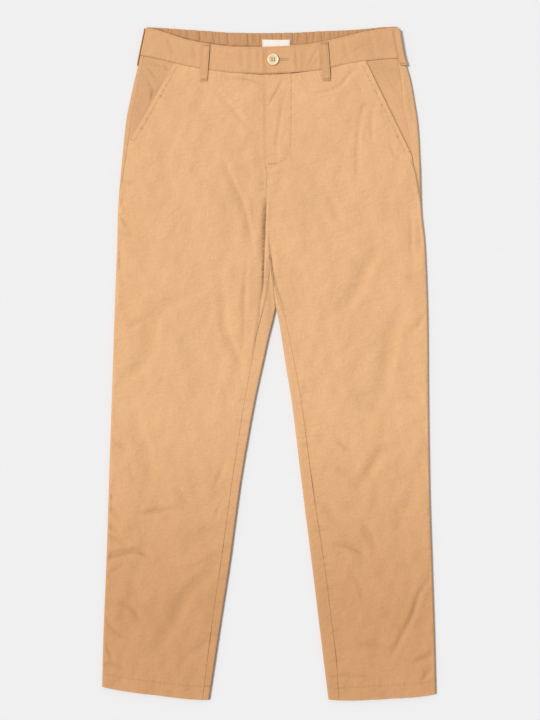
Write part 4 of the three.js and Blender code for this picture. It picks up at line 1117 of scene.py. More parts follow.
def back_panel(half):
    row = row_facts(half, leg_shares(half, 2.6, 3.4))
    outer_rise, inner_rise = side_rise(half, row.outer_down), main_rise(row.inner_down)
    outer_quarter, inner_quarter = np.pi / 4 * outer_rise, np.pi / 4 * inner_rise
    outer_start = half.out_seam(row.outer_down) - SEAM_GAP / 2
    outer_reach = outer_start + outer_quarter + 1
    outer_strip = between(np.zeros_like(outer_reach), outer_reach, RIM, 12, [0])
    outer = on_tube(half, row, outer_start - outer_strip, outer_rise, outer_rise / 2, HALF_CLOTH)
    fold, inset = inner_fold(row.inner_down), inner_inset(row.inner_down)
    climb = lerp(-inner_quarter, 0.35 * inner_quarter, smooth(row.inner_down, CROTCH - 50, CROTCH - 8))
    climb = lerp(climb, half.in_seam(CROTCH) - SEAM_GAP / 2, smooth(row.inner_down, CROTCH - 6, CROTCH - 1))
    inner_end = np.where(row.inner_down < CROTCH, climb, half.in_seam(row.inner_down) - SEAM_GAP / 2)
    inner_reach = np.maximum(inner_end + inner_quarter + 1, 3)
    strip = between(np.zeros_like(inner_reach), inner_reach, [0], 16, RIM)
    arc = strip - inner_reach + inner_end
    inner = on_tube(half, row, arc, inner_rise, fold, inset, is_outer=False)
    distance = row.width - (inset + fold * (1 - np.cos(np.clip(arc * 2 / inner_rise, -np.pi / 2, np.pi / 2)))
                            + np.maximum(np.abs(arc) - inner_quarter, 0))
    across = np.clip((row.width - distance) / row.width, 0, 1)
    puffed = HALF_CLOTH + main_rise(lerp(row.inner_down, row.outer_down, across)) + PUFF * np.sin(np.pi * across)
    inner[..., 2] = np.where(arc > inner_quarter, puffed, inner[..., 2])
    start = HALF_CLOTH + outer_rise / 2 + 1 + 0 * row.width
    stop = row.width - inset - fold - 1
    x, down = on_plan(half, row, lerp(start, stop, (np.arange(1, 33) / 33)[None]))
    under = plan_points(x, down, HALF_CLOTH)
    grid = np.concatenate([outer, under, inner], axis=1)
    x, down = grid[..., 0], grid[..., 1]
    top_shape = np.arange(grid.shape[1]) > outer.shape[1] + under.shape[1]
    upper = top_shape[None] & (grid[..., 2] > HALF_CLOTH + 2.5)
    seed = 3.0 if half.side == "right" else 4.0
    lines = LINES[half.side]
    puckers = ripples(lines.inseam, x, down, 9.4, 12, 15, 1.6, seed - 1) * smooth(down, 400, 560)
    depth = puckers + CREASE_STRENGTH * creases(ALL_CREASES, x, down)
    depth += groove(lines.hem, x, down, 1.1, 0.25)
    hollow = creases(BACK_CREASES, x, down) + 0.12 + swells(x, down, 21, (50, 120), 0.12)
    near_edge = smooth(np.arange(grid.shape[1])[None] * 1.0, outer.shape[1] - 1, outer.shape[1] + 3)
    near_edge = near_edge * (1 - smooth(np.arange(grid.shape[1])[None] * 1.0, outer.shape[1] + 28, outer.shape[1] + 33))
    grid[..., 2] += np.where(upper, -depth, np.maximum(hollow, 0) * near_edge * (1 - smooth(grid[..., 2], 0.7, 1.5)))
    follow_back_waist(grid)
    # Painted shade along both folded edges of the leg and on the outer strip, with a dark contact line at the inner
    # edge of the wearer's right leg below the fork, in the pucker hollows, at the hem stitches and from the table of
    # painted shade.
    edge_arc = np.full(grid.shape[:2], 99.0)
    edge_arc[:, : outer.shape[1]] = outer_start - outer_strip
    fold_edge_shade = (0.6 if half.side == "right" else 0.4) * bell(edge_arc, 1.6)
    fold_edge_shade += (0.16 if half.side == "right" else 0.05) * (edge_arc < 90)
    edge_arc[:, :] = 99.0
    edge_arc[:, -inner.shape[1]:] = arc
    fold_edge_shade += (1.5 if half.side == "right" else 0.4) * bell(edge_arc, 1.5) * smooth(down, FORK - 4, FORK + 6)
    fold_edge_shade += 0.2 * np.maximum(puckers, 0) * upper
    painted_shade = np.clip(groove(lines.hem, x, down, 1.0, 0.2) + fold_edge_shade + 0.8 * shade(FRONT_SHADES, x, down), 0, DEEPEST)
    return cloth_shell(f"back_panel_{half.side}", grid, seam=painted_shade, rim=0.35, flip=half.to_inside < 0)


def follow_back_waist(grid):
    """The upper strip starts at the front waist seam, and the rest of a back panel at its own waist seam."""
    z_middle = HALF_CLOTH + SIDE_RISE / 2
    x = grid[0, :, 0]
    is_up = smooth(grid[0, :, 2], z_middle - 0.5, z_middle + 0.5)
    target = lerp(back_seam(x) + SEAM_GAP, front_seam(x) + 0.12, is_up)
    shift = target - grid[0, :, 1]
    fade = 1 - smooth(grid[..., 1] - grid[:1, :, 1], 0, 60)
    grid[..., 1] += shift[None] * fade


back_right, back_left = back_panel(RIGHT), back_panel(LEFT)

# %% [markdown]
# ## Pocket facings
# The strip of twill that shows beside each slant mouth is the pocket's facing. It is sewn into the waist seam and
# the side seam, and goes on under the front. It sags a little towards the bag, so it has two shallow folds.

# %% Facings
FACING_CREASES = [
    (0.5, 5, 3, 2, -184, 51.8, -173, 70.3, -163.2, 80.2),
    (0.5, 4, 3, 2, -184, 68.2, -177.5, 84.6, -174.2, 96.6, -174, 102), (0.3, 3, 3, 2, -196, 118, -186, 132),
    (0.3, 4, 4, 2, 172, 66, 186, 92), (0.3, 4, 3, 2, 190, 110, 200, 140),
]
# Painted shade on the facings: strength, first width, second width, then x and down of each point.
FACING_SHADES = [
    (0.24, 40, 40, -170, 30, -180, 60, -192, 120, -206, 190), (0.42, 5, 3.5, -182, 54, -173, 70.3, -162, 81),
    (0.5, 3.5, 3.5, -183, 70, -177.5, 84.6, -174, 97, -175, 106), (0.85, 2.2, 3, -173, 90, -174.5, 100, -178, 110),
    (0.4, 2.5, 2.5, -158, 62, -160, 80, -170, 100, -190, 138, -203, 165),
    (0.7, 1.1, 1.1, 146.4, 53, 180, 121.5, 208, 179), (0.5, 3, 3, -157, 56, -153, 60, -152, 66),
    (0.34, 5, 5, -188, 52, -170, 56, -156, 61), (0.22, 20, 20, 140, 50, 175, 62, 215, 70),
    (0.2, 3, 3, 172, 66, 186, 92, 192, 104), (0.18, 2.5, 2.5, 192, 90, 198, 120, 206, 150),
]


def pocket_facing(half):
    share = with_rims(np.linspace(0.015, 0.985, 58), 1, rim=np.array(RIM) / 130)[:, None]
    down = lerp(half.waist[0], half.mouth_foot[1], share)
    seam_x = half.outer(down) + half.to_inside * (
        HALF_CLOTH + half.out_seam(down) + 0.5 * SEAM_GAP - SEAM_CLOSING - (np.pi / 2 - 1) * SIDE_RISE / 2
    )
    (top_x, top_down), (foot_x, foot_down) = half.mouth_top, half.mouth_foot
    mouth_x = lerp(top_x, foot_x, np.minimum((down - top_down) / (foot_down - top_down), 1))
    inner_x = mouth_x + half.to_inside * 25
    width = np.abs(inner_x - seam_x)
    x = seam_x + half.to_inside * between(0 * width, width, RIM, 34, RIM)
    down = down + (front_seam(x) + 0.12 - half.waist[0]) * (1 - share) ** 2
    depth = creases(FACING_CREASES, x, down) + swells(x, down, 31, (16, 40), 0.1)
    side = smooth_line(np.ravel([(float(half.outer(d)) + half.to_inside * (3 + float(half.out_seam(float(d)))), d) for d in range(50, 200, 12)]))
    depth += ripples(side, x, down, 9.0, 9, 9, 0.5, 8.0)
    z = HALF_CLOTH + SIDE_RISE - np.clip(depth, -0.45, 0.4)
    # Painted shade where the facing sags under the pocket mouth and lies lower.
    painted_shade = shade(FACING_SHADES, x, down)
    grid = plan_points(x, down, z)
    name = f"pocket_facing_cloth_{half.side}"
    return cloth_shell(name, grid, seam=painted_shade, wear_reach=1.0, rim=0.35, flip=half.to_inside < 0)


facing_right, facing_left = pocket_facing(RIGHT), pocket_facing(LEFT)

# %% [markdown]
# ## The back waistband and its gathers
# The back half of the waistband has elastic in it, so its cloth is gathered. What shows above the front band is its
# inside: smooth pillows of cloth between thin, steep grooves, no two alike. Each groove is a row: its place, how far
# its foot leans, how deep it is and how far down it runs. The rest of the band, up to both sides, gets finer ones
# from a rule, because it is hidden or nearly so.

# %% Gathers: x at the top, lean, strength, length
GATHERS = [
    (-133.4, 1.5, 0.6, 16), (-128.9, -1, 0.5, 14), (-122.2, 4, 1, 22), (-103.1, 1, 1, 24), (-92, -1, 0.35, 10),
    (-83.7, 3.5, 0.8, 22), (-78.4, -1, 0.55, 14), (-73.3, 1, 0.6, 18), (-61.7, 1.5, 1, 24), (-51, 1.5, 0.3, 12),
    (-41, -1.5, 0.35, 14), (-31.4, 1, 1, 24), (-23.4, 0.5, 0.7, 16), (-20.4, 1.5, 0.55, 18), (-12.1, -1, 0.7, 20),
    (-2.6, 1, 0.6, 16), (5.6, 0.5, 0.8, 22), (12, -1, 0.35, 10), (19.7, -1, 1, 14), (27, 1.5, 0.4, 12),
    (35.4, 1, 0.8, 20), (39, -1, 0.5, 12), (44.7, -2, 0.8, 18), (46.9, 1, 0.5, 12), (56.8, 1, 0.85, 22),
    (61, -1, 0.55, 14), (67.5, -1.5, 0.75, 20), (78.1, 1, 0.8, 20), (83.1, -1, 0.6, 14), (91, 1, 0.7, 14),
    (98, -1, 0.5, 12), (104.5, 1, 0.7, 14), (112, -1, 0.6, 12), (119, 1, 0.7, 12), (125, -1, 0.5, 10),
    (133, 1, 0.7, 10), (141, -1, 0.6, 9), (150, 1, 0.6, 8), (158, -1, 0.5, 7), (167, 1, 0.5, 6), (176, -1, 0.4, 5),
]


def back_band():
    rng = np.random.default_rng(41)
    valleys = [list(row) for row in GATHERS]
    valleys += [[x + rng.uniform(-2, 2), rng.uniform(-2, 2), rng.uniform(0.4, 0.8), rng.uniform(6, 12)]
                for x in np.arange(-176, -138, 6.5)]
    top = np.array([place[0] for place in valleys])
    near = np.concatenate([top + offset for offset in (-1.6, -0.8, -0.35, 0, 0.35, 0.8, 1.6)])
    u = np.unique(np.round(np.concatenate([np.arange(-181, 191, 2.0), near]), 2))
    u = u[np.concatenate([[True], np.diff(u) > 0.22])]
    u = (np.clip(u, -181, 191) + 181) / 372
    rim = np.array(RIM) / 372
    u = with_rims(u[(u > rim[-1] + 0.002) & (u < 1 - rim[-1] - 0.002)], 1, rim=rim)[None]
    share = with_rims([*np.linspace(0.04, 0.6, 22), *np.linspace(0.64, 0.96, 8)], 1, rim=np.array(RIM) / 48)[:, None]
    down = lerp(0, 45, share)
    x = lerp(RIGHT.outer(down) + 3 * BAND_INSET, LEFT.outer(down) - 3 * BAND_INSET, u)
    depth, painted_shade = np.zeros(x.shape), np.zeros(x.shape)
    for place, lean, strength, length in valleys:
        line_x = place + lean * share * 45 / length
        away = np.abs(x - line_x)
        fade = 1 - smooth(share * 45, 0.55 * length, 1.5 * length)
        depth += strength * fade * (1.0 * np.exp(-away / 1.0) + 0.4 * bell(away, 3.4))
        # Painted shade in the gather grooves.
        painted_shade += 0.75 * strength * fade * bell(away, 0.75)
    height = 1.1 - np.clip(depth, 0, 1.35) + swells(x, down * 2, 42, (9, 24), 0.1)
    height = height * smooth(share, -0.05, 0.05) * (1 - smooth(share, 0.62, 0.75)) + 0.3 * smooth(share, 0.62, 0.75)
    top_down = back_top(x) + 0.55 * np.clip(depth, 0, 1)
    floor = BACK_BAND / 2
    grid = np.stack(np.broadcast_arrays(x, lerp(top_down, back_seam(x), share), floor), -1)
    down = grid[..., 1]
    # Painted shadow on the back band under the front band's top edge, and beside the label's edge.
    above_front = np.maximum(front_top(x) - down, 0)
    uneven = 0.8 + 0.25 * np.sin(x / 2.9) + 0.15 * np.sin(x / 7.3)
    shadow_under_front_band = uneven * lerp(0.55, 1.4, 1 - smooth(x, -30, 40)) * bell(above_front, 2.3)
    shadow_under_front_band += 0.3 * smooth(x, 80, 110) * (0.6 + 0.4 * np.sin(2 * np.pi * x / 6.1)) * bell(above_front, 4)
    shadow_beside_label = 0.8 * bell(x - 32.6, 1.2) * smooth(down, 17, 20)
    painted_shade = np.clip(np.maximum(painted_shade, np.maximum(shadow_under_front_band, shadow_beside_label)), 0, 1)
    return cloth_shell("waistband_back_gathered", grid, floor + np.maximum(height, -0.3), floor, painted_shade, wear_reach=1.2)


band_back = back_band()

# %% [markdown]
# ## The front waistband
# Two layers of twill round an interlining, pressed and stitched along both edges, so it is stiffer and flatter than
# the panels. The wearer's right half runs on under the left one, which steps up over it at the lap.

# %% Front bands
LAP_END = 34


def band_floor(x):
    return lerp(3.5, 4.8, smooth(x, -110, -30) * (1 - smooth(x, 50, 125)))


def lap_lift(x):
    return (BAND + LAYER_GAP) * (1 - smooth(x, LAP_END + 2, LAP_END + 24))


BAND_CREASES = [
    (0.35, 1.6, 1.4, 2, -72, 39.5, -60, 41.5, -50, 42), (0.25, 1.6, 1.4, 2, -70, 46, -58, 48, -52, 47),
    (0.3, 4, 4, 2, -27, 31, -26.5, 47, -26.8, 66), (0.25, 3, 3, 2, -15, 33, -14, 62),
    (0.2, 3, 3, 2, -40, 33, -38, 62), (0.3, 4, 4, 2, -112, 26, -108, 52), (0.25, 4, 5, 2, -150, 14, -140, 44),
    (0.35, 3, 2.5, 2, 73, 48, 68, 58, 64, 66), (0.3, 5, 4, 2, 112, 18, 120, 50), (0.25, 4, 4, 2, 150, 8, 158, 44),
    (0.3, 3, 3, 2, 40, 30, 43, 66), (0.25, 3, 3, 2, 58, 62, 66, 46, 76, 29),
    (0.25, 2, 2, 2, 120, 40, 140, 30, 160, 27),
]
BAND_STRENGTH = 3.0
# A ring of painted shadow round the button.
BUTTON_SHADOW_RING = [place for turn in np.linspace(0, 2 * np.pi, 13)
                for place in (BUTTON.x + 8.8 * np.cos(turn), BUTTON.down + 8.8 * np.sin(turn))]
# Painted shade on the front bands: strength, first width, second width, then x and down of each point. A ring of shadow
# round the button, dark cloth under the button that shows through its holes, and shade at the lap, beside the loops and
# in the creases; a broad patch darkens the band's wearer's-left end.
BAND_SHADES = [
    (0.4, 1, 1, *BUTTON_SHADOW_RING), (1.5, 3.6, 3.6, 3.5, 49, 6.5, 49, 9.5, 49),
    (0.45, 1.9, 1.9, -8.2, 31, -8.2, 45, -7.6, 56, -6.6, 69), (0.3, 1.4, 1.4, -8.2, 38, -8.2, 52),
    (0.2, 18, 18, 120, 30, 190, 22), (0.16, 1, 1, -1.5, 59, 1, 63, 4.5, 62),
    (0.22, 0.9, 0.9, 7.5, 58, 9.5, 61.5, 12, 65), (0.1, 4, 4, -27, 32, -26.5, 50, -26.8, 66),
    (0.1, 3, 3, -15, 33, -14, 62), (0.75, 0.9, 0.9, -86.8, 24, -88.2, 45, -90.2, 66),
    (0.3, 1.2, 1.2, -98.8, 26, -100.2, 45, -101.6, 62), (0.5, 1.2, 0.9, 75.4, 25, 76.6, 45, 79.2, 66),
    (0.4, 0.9, 0.9, 88.2, 23, 89.4, 45, 91.4, 66), (0.4, 1.6, 1.6, 73, 30, 78, 27, 90, 26),
    (0.1, 3, 3, 71, 44, 68, 56, 65, 67), (0.7, 0.9, 0.7, 183.6, 4, 185.6, 12, 188.3, 25, 190.6, 38, 193, 46),
    (0.1, 2, 2, -70, 40.5, -60, 42, -50, 42),
]
BUTTONHOLE = SimpleNamespace(left=9.0, right=28.6, down=48.4, half_height=2.2)


def band_line(share, start, stop, inset):
    """A line along the front band: share 0 is its top edge and share 1 the waist seam."""
    xs = np.linspace(start, stop, 40)
    downs = lerp(front_top(xs) + inset, front_seam(xs) - inset, share)
    return np.stack([xs, downs], -1)


def front_band(half, start, is_lapped):
    outer_end = half.outer(20.0)
    length = abs(outer_end - start)
    places = with_rims(np.arange(2.0, length - 2.0, 1.25), length) / length
    rows = [0.045, 0.055, 0.065, *np.linspace(0.085, 0.915, 24), 0.935, 0.945, 0.955]
    share = with_rims(rows, 1, rim=np.array(RIM) / 42)
    share, along = np.unique(share)[:, None], places[None]
    x = lerp(start, outer_end, along) + 0 * share
    side_down = lerp(front_top(x), front_seam(x), share)
    x = lerp(start, half.outer(side_down) + half.to_inside * BAND_INSET, along)
    down = lerp(front_top(x), front_seam(x), share)
    low, high = (-190, start) if half.to_inside > 0 else (start, 203)
    top_stitch, foot_stitch = band_line(0, low, high, 2.2), band_line(1, low, high, 1.2)
    folds = BAND_STRENGTH * creases(BAND_CREASES, x, down)
    depth = folds + swells(x, down, 51, (24, 60), 0.3) + swells(x, down, 52, (9, 20), 0.06)
    depth += groove(top_stitch, x, down, 0.8, 0.14) + groove(foot_stitch, x, down, 0.8, 0.26)
    depth += ripples(top_stitch, x, down, 7.0, 6, 4, 0.3, 9.0) + ripples(foot_stitch, x, down, 6.2, 3, 8, 0.45, 10.0)
    # Painted shade along the foot stitches, dotted and strongest in the middle, and in the creases.
    beads = 0.5 + 0.5 * np.cos(2 * np.pi * x / 3.9 + 1.3 * np.sin(x / 17))
    in_middle = smooth(x, -48, -30) * (1 - smooth(x, 20, 34))
    painted_shade = groove(foot_stitch, x, down, 1.1, 0.24) * (0.15 + 1.6 * beads) * (1 + 1.2 * in_middle)
    painted_shade += 0.09 * np.maximum(folds, 0)
    # Painted shade along the buttonhole and along the lap's edge.
    if is_lapped:
        hole = smooth_line([BUTTONHOLE.left, BUTTONHOLE.down, BUTTONHOLE.right, BUTTONHOLE.down])
        depth += groove(hole, x, down, 1.0, 0.12)
        painted_shade += groove(hole, x, down, 0.6, 0.12)
        lap_edge = smooth_line([start + 2, 31, start + 2, 69])
        depth += groove(lap_edge, x, down, 0.7, 0.2)
        painted_shade += groove(lap_edge, x, down, 0.6, 0.1) + 0.35 * bell(x - start, 1.2)
    painted_shade = np.maximum(painted_shade, shade(BAND_SHADES, x, down))
    lift = lap_lift(x) if is_lapped else 0
    z = band_floor(x) + BAND / 2 + lift
    grid = plan_points(x, down, z)
    painted_shade = np.clip(painted_shade, 0, 1)
    upper = BAND / 2 - np.clip(depth, -0.5, 0.75)
    name = f"waistband_cloth_{half.side}"
    return cloth_shell(name, grid, upper, BAND / 2, painted_shade, wear_reach=1.6, rim=0.5, flip=half.to_inside > 0)


band_right, band_left = front_band(RIGHT, LAP_END, False), front_band(LEFT, FLY_EDGE, True)

# %% [markdown]
# ## Belt loops and label
# A belt loop is a strip of twill folded in three, with a row of stitches near each edge. It starts at the band's top
# edge and ends in a bar tack below the waist seam, with room for a belt under it. The label is a blank piece of
# woven tape, stitched down at its two short ends on the inside of the band.


# %% Strips along a path
def fit_columns(anchors, count):
    """Smooth grid between columns of anchor points, given as rows × columns × 3."""
    anchors = np.asarray(anchors, float)
    ends = np.concatenate([2 * anchors[:, :1] - anchors[:, 1:2], anchors, 2 * anchors[:, -1:] - anchors[:, -2:-1]], axis=1)
    steps = []
    for k in range(anchors.shape[1] - 1):
        a, b, c, d = (ends[:, k + m][:, None] for m in range(4))
        steps.append(bend(a, b, c, d, (np.arange(count) / count)[None, :, None]))
    return np.concatenate([*steps, anchors[:, -1:]], axis=1)


LOOP = SimpleNamespace(width=11.5, thickness=1.5, slack=0.8)
LOOP_ACROSS = np.array([0, 0.06, 0.2, 0.45, 0.8, 1.3, 1.8, 2.3, 3, 4.2, 5.75])
LOOP_ACROSS = np.concatenate([LOOP_ACROSS, 11.5 - LOOP_ACROSS[-2::-1]])
LOOP_RIM = [0, 0.08, 0.3, 0.6]


def loop_marks(across, along, length):
    """Stitch grooves along both edges of a loop, and where bar tacks hold its ends."""
    stitch = bell(across - 1.8, 0.5) + bell(LOOP.width - across - 1.8, 0.5)
    tack = 1 - smooth(np.minimum(along, length - along), 1.5, 4.5)
    return stitch, tack


def front_loop(name, top_x, foot_x, foot_down):
    panel_top = CLOTH + HIP_RISE + PUFF
    band_top = band_floor(top_x) + BAND
    lift = LAYER_GAP + 0.1 + LOOP.thickness / 2
    top_down = float(front_top(top_x)) + 0.5
    length = foot_down - top_down
    along = with_rims(np.arange(1.2, length - 1.2, 0.9), length, rim=LOOP_RIM)[:, None]
    share = along / length
    under = lerp(band_top, panel_top, smooth(share, 0.72, 0.84))
    height = np.maximum(under, np.where(share < 0.86, panel_top, 0)) + lift + LOOP.slack * np.sin(np.pi * share)
    x = lerp(top_x, foot_x, share) + LOOP_ACROSS[None] - LOOP.width / 2
    stitch, tack = loop_marks(LOOP_ACROSS[None], along, length)
    wobble = 0.12 * np.sin(along / 3.1 + 0.4 * LOOP_ACROSS[None]) + 0.1 * np.sin(along / 5.3 + top_x)
    bow = 0.35 * np.sin(np.pi * share)
    z = height + wobble * (1 - tack) - 0.25 * tack
    grid = np.stack(np.broadcast_arrays(x + bow * np.sin(0.1 * top_x), top_down + along, z), -1)
    upper = LOOP.thickness / 2 - 0.2 * stitch + 0.12 * bell(LOOP_ACROSS - 5.75, 2.4)[None]
    # Painted shade in the stitch grooves and at the bar tacks, strongest at the top tack of the left front loop, which
    # is also painted a little darker all over.
    top_tack_shade = bell(along - 3, 2.6) * (0.35 if top_x > 0 else 0.1)
    painted_shade = 0.2 * stitch + (0.14 if top_x > 0 else 0.0) + top_tack_shade + 0.1 * tack
    return cloth_shell(name, grid, upper, LOOP.thickness / 2, np.clip(painted_shade, 0, 1), wear_reach=0.9)


def side_loop_on_top():
    above = LAYER_GAP + LOOP.thickness / 2
    top = 3.5 + BAND + above
    length = 53.5
    downs = 3.5 + with_rims(np.arange(1.2, length - 1.2, 1.1), length, rim=LOOP_RIM)
    slack = LOOP.slack * np.sin(np.pi * (downs - 3.5) / length)
    edge = LEFT.outer(downs)
    path = [(-9.5, top, 1), (-4.5, top, 1), (0.1, top - 0.1, 1), (above, top - 1.5, 0), (above, 1.6, 0)]
    anchors = np.stack([plan_points(edge + out, downs, z + slack * lifted) for out, z, lifted in path], axis=1)
    grid = fit_columns(anchors, 6)
    shares = np.array(LOOP_RIM)[None, :, None]
    near, far = lerp(grid[:, :1], grid[:, 1:2], shares), lerp(grid[:, -1:], grid[:, -2:-1], shares[:, ::-1])
    grid = np.concatenate([near, grid[:, 1:-1], far], axis=1)
    across, _ = lengths_along(grid, 1)
    stitch = bell(across - 1.8, 0.5)
    tack = 1 - smooth(np.minimum(downs - 3.5, 57 - downs), 1.5, 4.5)[:, None]
    # Painted shade in its stitch groove, at its bar tack and along its edge that faces the middle.
    return cloth_shell("belt_loop_left_side", grid, LOOP.thickness / 2 - 0.2 * stitch, LOOP.thickness / 2,
                       np.clip(0.3 * stitch + 0.1 * tack + 0.7 * bell(across, 0.9), 0, 1), wear_reach=0.9)


def side_loop_on_edge():
    length = 55.5
    downs = 1.5 + with_rims(np.arange(1.2, length - 1.2, 1.1), length, rim=LOOP_RIM)[:, None]
    heights = np.array([0.3, 0.36, 0.5, 0.8, 1.4, 2.1, 2.85, 3.6, 4.3, 4.9, 5.2, 5.34, 5.4])[None]
    x = RIGHT.outer(downs) - LAYER_GAP - LOOP.thickness / 2 + 0 * heights
    grid = plan_points(x, downs, heights)
    # The loop stands on the band's folded edge in shade, so all of it is painted as shade.
    painted_shade = np.full(grid.shape[:2], 0.8)
    return cloth_shell("belt_loop_right_side", grid, LOOP.thickness / 2, LOOP.thickness / 2, painted_shade, wear_reach=0.9)


loop_front_right = front_loop("belt_loop_right_front", -93, -97, 80)
loop_front_left = front_loop("belt_loop_left_front", 82, 86, 79.5)
loop_side_left, loop_side_right = side_loop_on_top(), side_loop_on_edge()


# %% Label
def blank_label():
    x = with_rims(np.linspace(-7.6, 29.6, 34), 31.5, -9.5)[None]
    down = with_rims(np.linspace(19.4, 39.2, 20), 40, 18.5, RIM[:4])[:, None]
    end = np.minimum(x + 9.5, 31.5 - x)
    stitch = bell(end - 1.3, 0.5) + 0 * down
    z = 3.4 + 0.1 * np.sin(x / 5.1) + 0.07 * np.sin(x / 2.3 + down / 6) - 0.12 * stitch
    grid = np.stack(np.broadcast_arrays(x, down + 0.25 * np.sin(x / 9), z), -1)
    # Painted shade along the stitched ends.
    return cloth_shell("blank_label", grid, 0.5, 0.5, np.clip(0.6 * stitch, 0, 1), wear_reach=0.5)


label = blank_label()

# %% [markdown]
# ## Button
# A four-hole button is turned from a cast blank: a raised, rounded rim, a well for the thread, and four drilled
# holes. It is turned here from a profile as well, and the holes are cut with a boolean, which gives them clean rims.


# %% Turned and drilled button
def make_button():
    profile = [
        (0, 0), (4, 0), (6.1, 0), (7.3, 0.25), (8.05, 0.75), (8.4, 1.4), (8.5, 1.9), (8.4, 2.35), (8.1, 2.7), (7.6, 2.93),
        (7.1, 3.0), (6.6, 2.93), (6.2, 2.72), (5.85, 2.42), (5.5, 2.22), (5.1, 2.12), (4.4, 2.08), (3, 2.06), (1.5, 2.06), (0, 2.06),
    ]
    around = 96
    angles = np.linspace(0, 2 * np.pi, around, endpoint=False)
    rings = profile[1:-1]
    coords = [(0, 0, 0)] + [(r * np.cos(a), r * np.sin(a), z) for r, z in rings for a in angles] + [(0, 0, 2.06)]
    faces = []
    for k in range(around):
        after = (k + 1) % around
        faces.append((0, 1 + after, 1 + k))
        for ring in range(len(rings) - 1):
            a, b = 1 + ring * around, 1 + (ring + 1) * around
            faces.append((a + k, a + after, b + after, b + k))
        last = 1 + (len(rings) - 1) * around
        faces.append((last + k, last + after, len(coords) - 1))
    mesh = bpy.data.meshes.new("button_disc")
    mesh.from_pydata(coords, [], faces)
    blank = bpy.data.objects.new("button_disc", mesh)
    drill_mesh = bpy.data.meshes.new("drill")
    tool = bmesh.new()
    for sx, sy in ((1, 1), (1, -1), (-1, 1), (-1, -1)):
        made = bmesh.ops.create_cone(tool, cap_ends=True, segments=24, radius1=1.0, radius2=1.0, depth=9)
        bmesh.ops.translate(tool, vec=(sx * 1.7, sy * 1.7, 1.5), verts=made["verts"])
    tool.to_mesh(drill_mesh)
    tool.free()
    drill = bpy.data.objects.new("drill", drill_mesh)
    for obj in (blank, drill):
        bpy.context.scene.collection.objects.link(obj)
    cut = blank.modifiers.new("holes", "BOOLEAN")
    cut.operation, cut.object, cut.solver = "DIFFERENCE", drill, "EXACT"
    bpy.context.view_layer.update()
    done = bpy.data.meshes.new_from_object(blank.evaluated_get(bpy.context.evaluated_depsgraph_get()))
    bpy.data.objects.remove(blank)
    bpy.data.objects.remove(drill)
    points = np.empty(len(done.vertices) * 3)
    done.vertices.foreach_get("co", points)
    points = points.reshape(-1, 3)
    well = 1 - smooth(np.hypot(points[:, 0], points[:, 1]), 4.9, 6.2)
    middle_x, middle_y = (button_low[:2] + button_high[:2]) / 2
    placed = (points + np.array([middle_x, middle_y, button_low[2]])) * MM
    done.vertices.foreach_set("co", placed.ravel())
    done.attributes.new("well", "FLOAT", "POINT").data.foreach_set("value", well.astype(np.float32))
    done.shade_smooth()
    done.set_sharp_from_angle(angle=0.7)
    done.name = "four_hole_button"
    button = bpy.data.objects.new("four_hole_button", done)
    bpy.context.scene.collection.objects.link(button)
    print(f"button: {len(done.polygons)} faces, 17 mm across")
    return button


button = make_button()

# %% [markdown]
# ## Stitches
# A machine stitch is a short bridge of thread that dips into the cloth at both ends. At this garment's scale there
# are about eleven to the inch. Each stitch here is a small tube with its ends sunk in, laid along the seam lines at
# the height of the cloth under it, found by dropping a ray on the finished shell. Bump alone would leave the seams
# flat from the side.


# %% Threads on a surface
def surface_of(*objects):
    """Drops rays on these objects: returns the cloth's height in millimetres under each plan point."""
    trees = []
    for obj in objects:
        coords = np.empty(len(obj.data.vertices) * 3)
        obj.data.vertices.foreach_get("co", coords)
        polygons = np.empty(len(obj.data.polygons) * 4, np.int32)
        obj.data.polygons.foreach_get("vertices", polygons)
        trees.append(BVHTree.FromPolygons(coords.reshape(-1, 3).tolist(), polygons.reshape(-1, 4).tolist()))

    def height(points):
        result = []
        for x, y, _ in in_frame(np.concatenate([points, np.zeros((len(points), 1))], axis=1)):
            hits = [tree.ray_cast(Vector((x, y, 0.05)), Vector((0, 0, -1)))[0] for tree in trees]
            hits = [hit.z / MM for hit in hits if hit]
            result.append(max(hits) if hits else np.nan)
        return np.array(result)

    return height


def thread_tubes(name, stitches, radius, finish, sides=5):
    """One object of many small tubes. Each stitch is a row of plan points."""
    stitches = np.asarray([s for s in stitches if not np.isnan(s).any()], float)
    count, points = stitches.shape[:2]
    centre = in_frame(stitches)
    along = np.gradient(centre, axis=1)
    along /= np.linalg.norm(along, axis=-1, keepdims=True)
    side = np.cross(along, (0, 0, 1.0))
    side /= np.maximum(np.linalg.norm(side, axis=-1, keepdims=True), 1e-9)
    up = np.cross(side, along)
    angles = 2 * np.pi * np.arange(sides) / sides
    girth = radius * MM * np.array([0.55, *([1.0] * (points - 2)), 0.55])
    ring = np.cos(angles)[None, None, :, None] * side[:, :, None] + np.sin(angles)[None, None, :, None] * up[:, :, None]
    coords = (centre[:, :, None] + ring * girth[None, :, None, None]).reshape(-1, 3)
    index = np.arange(count * points * sides).reshape(count, points, sides)
    after = np.roll(index, -1, axis=2)
    walls = np.stack([index[:, :-1], after[:, :-1], after[:, 1:], index[:, 1:]], -1).reshape(-1, 4)
    caps = np.concatenate([index[:, 0, ::-1], index[:, -1]])
    obj = make_object(name, coords, [walls, caps])
    obj.data.materials.append(finish)
    print(f"{name}: {count} stitches, {count * (2 * sides * (points - 1) + 2 * (sides - 2))} triangles")
    return obj


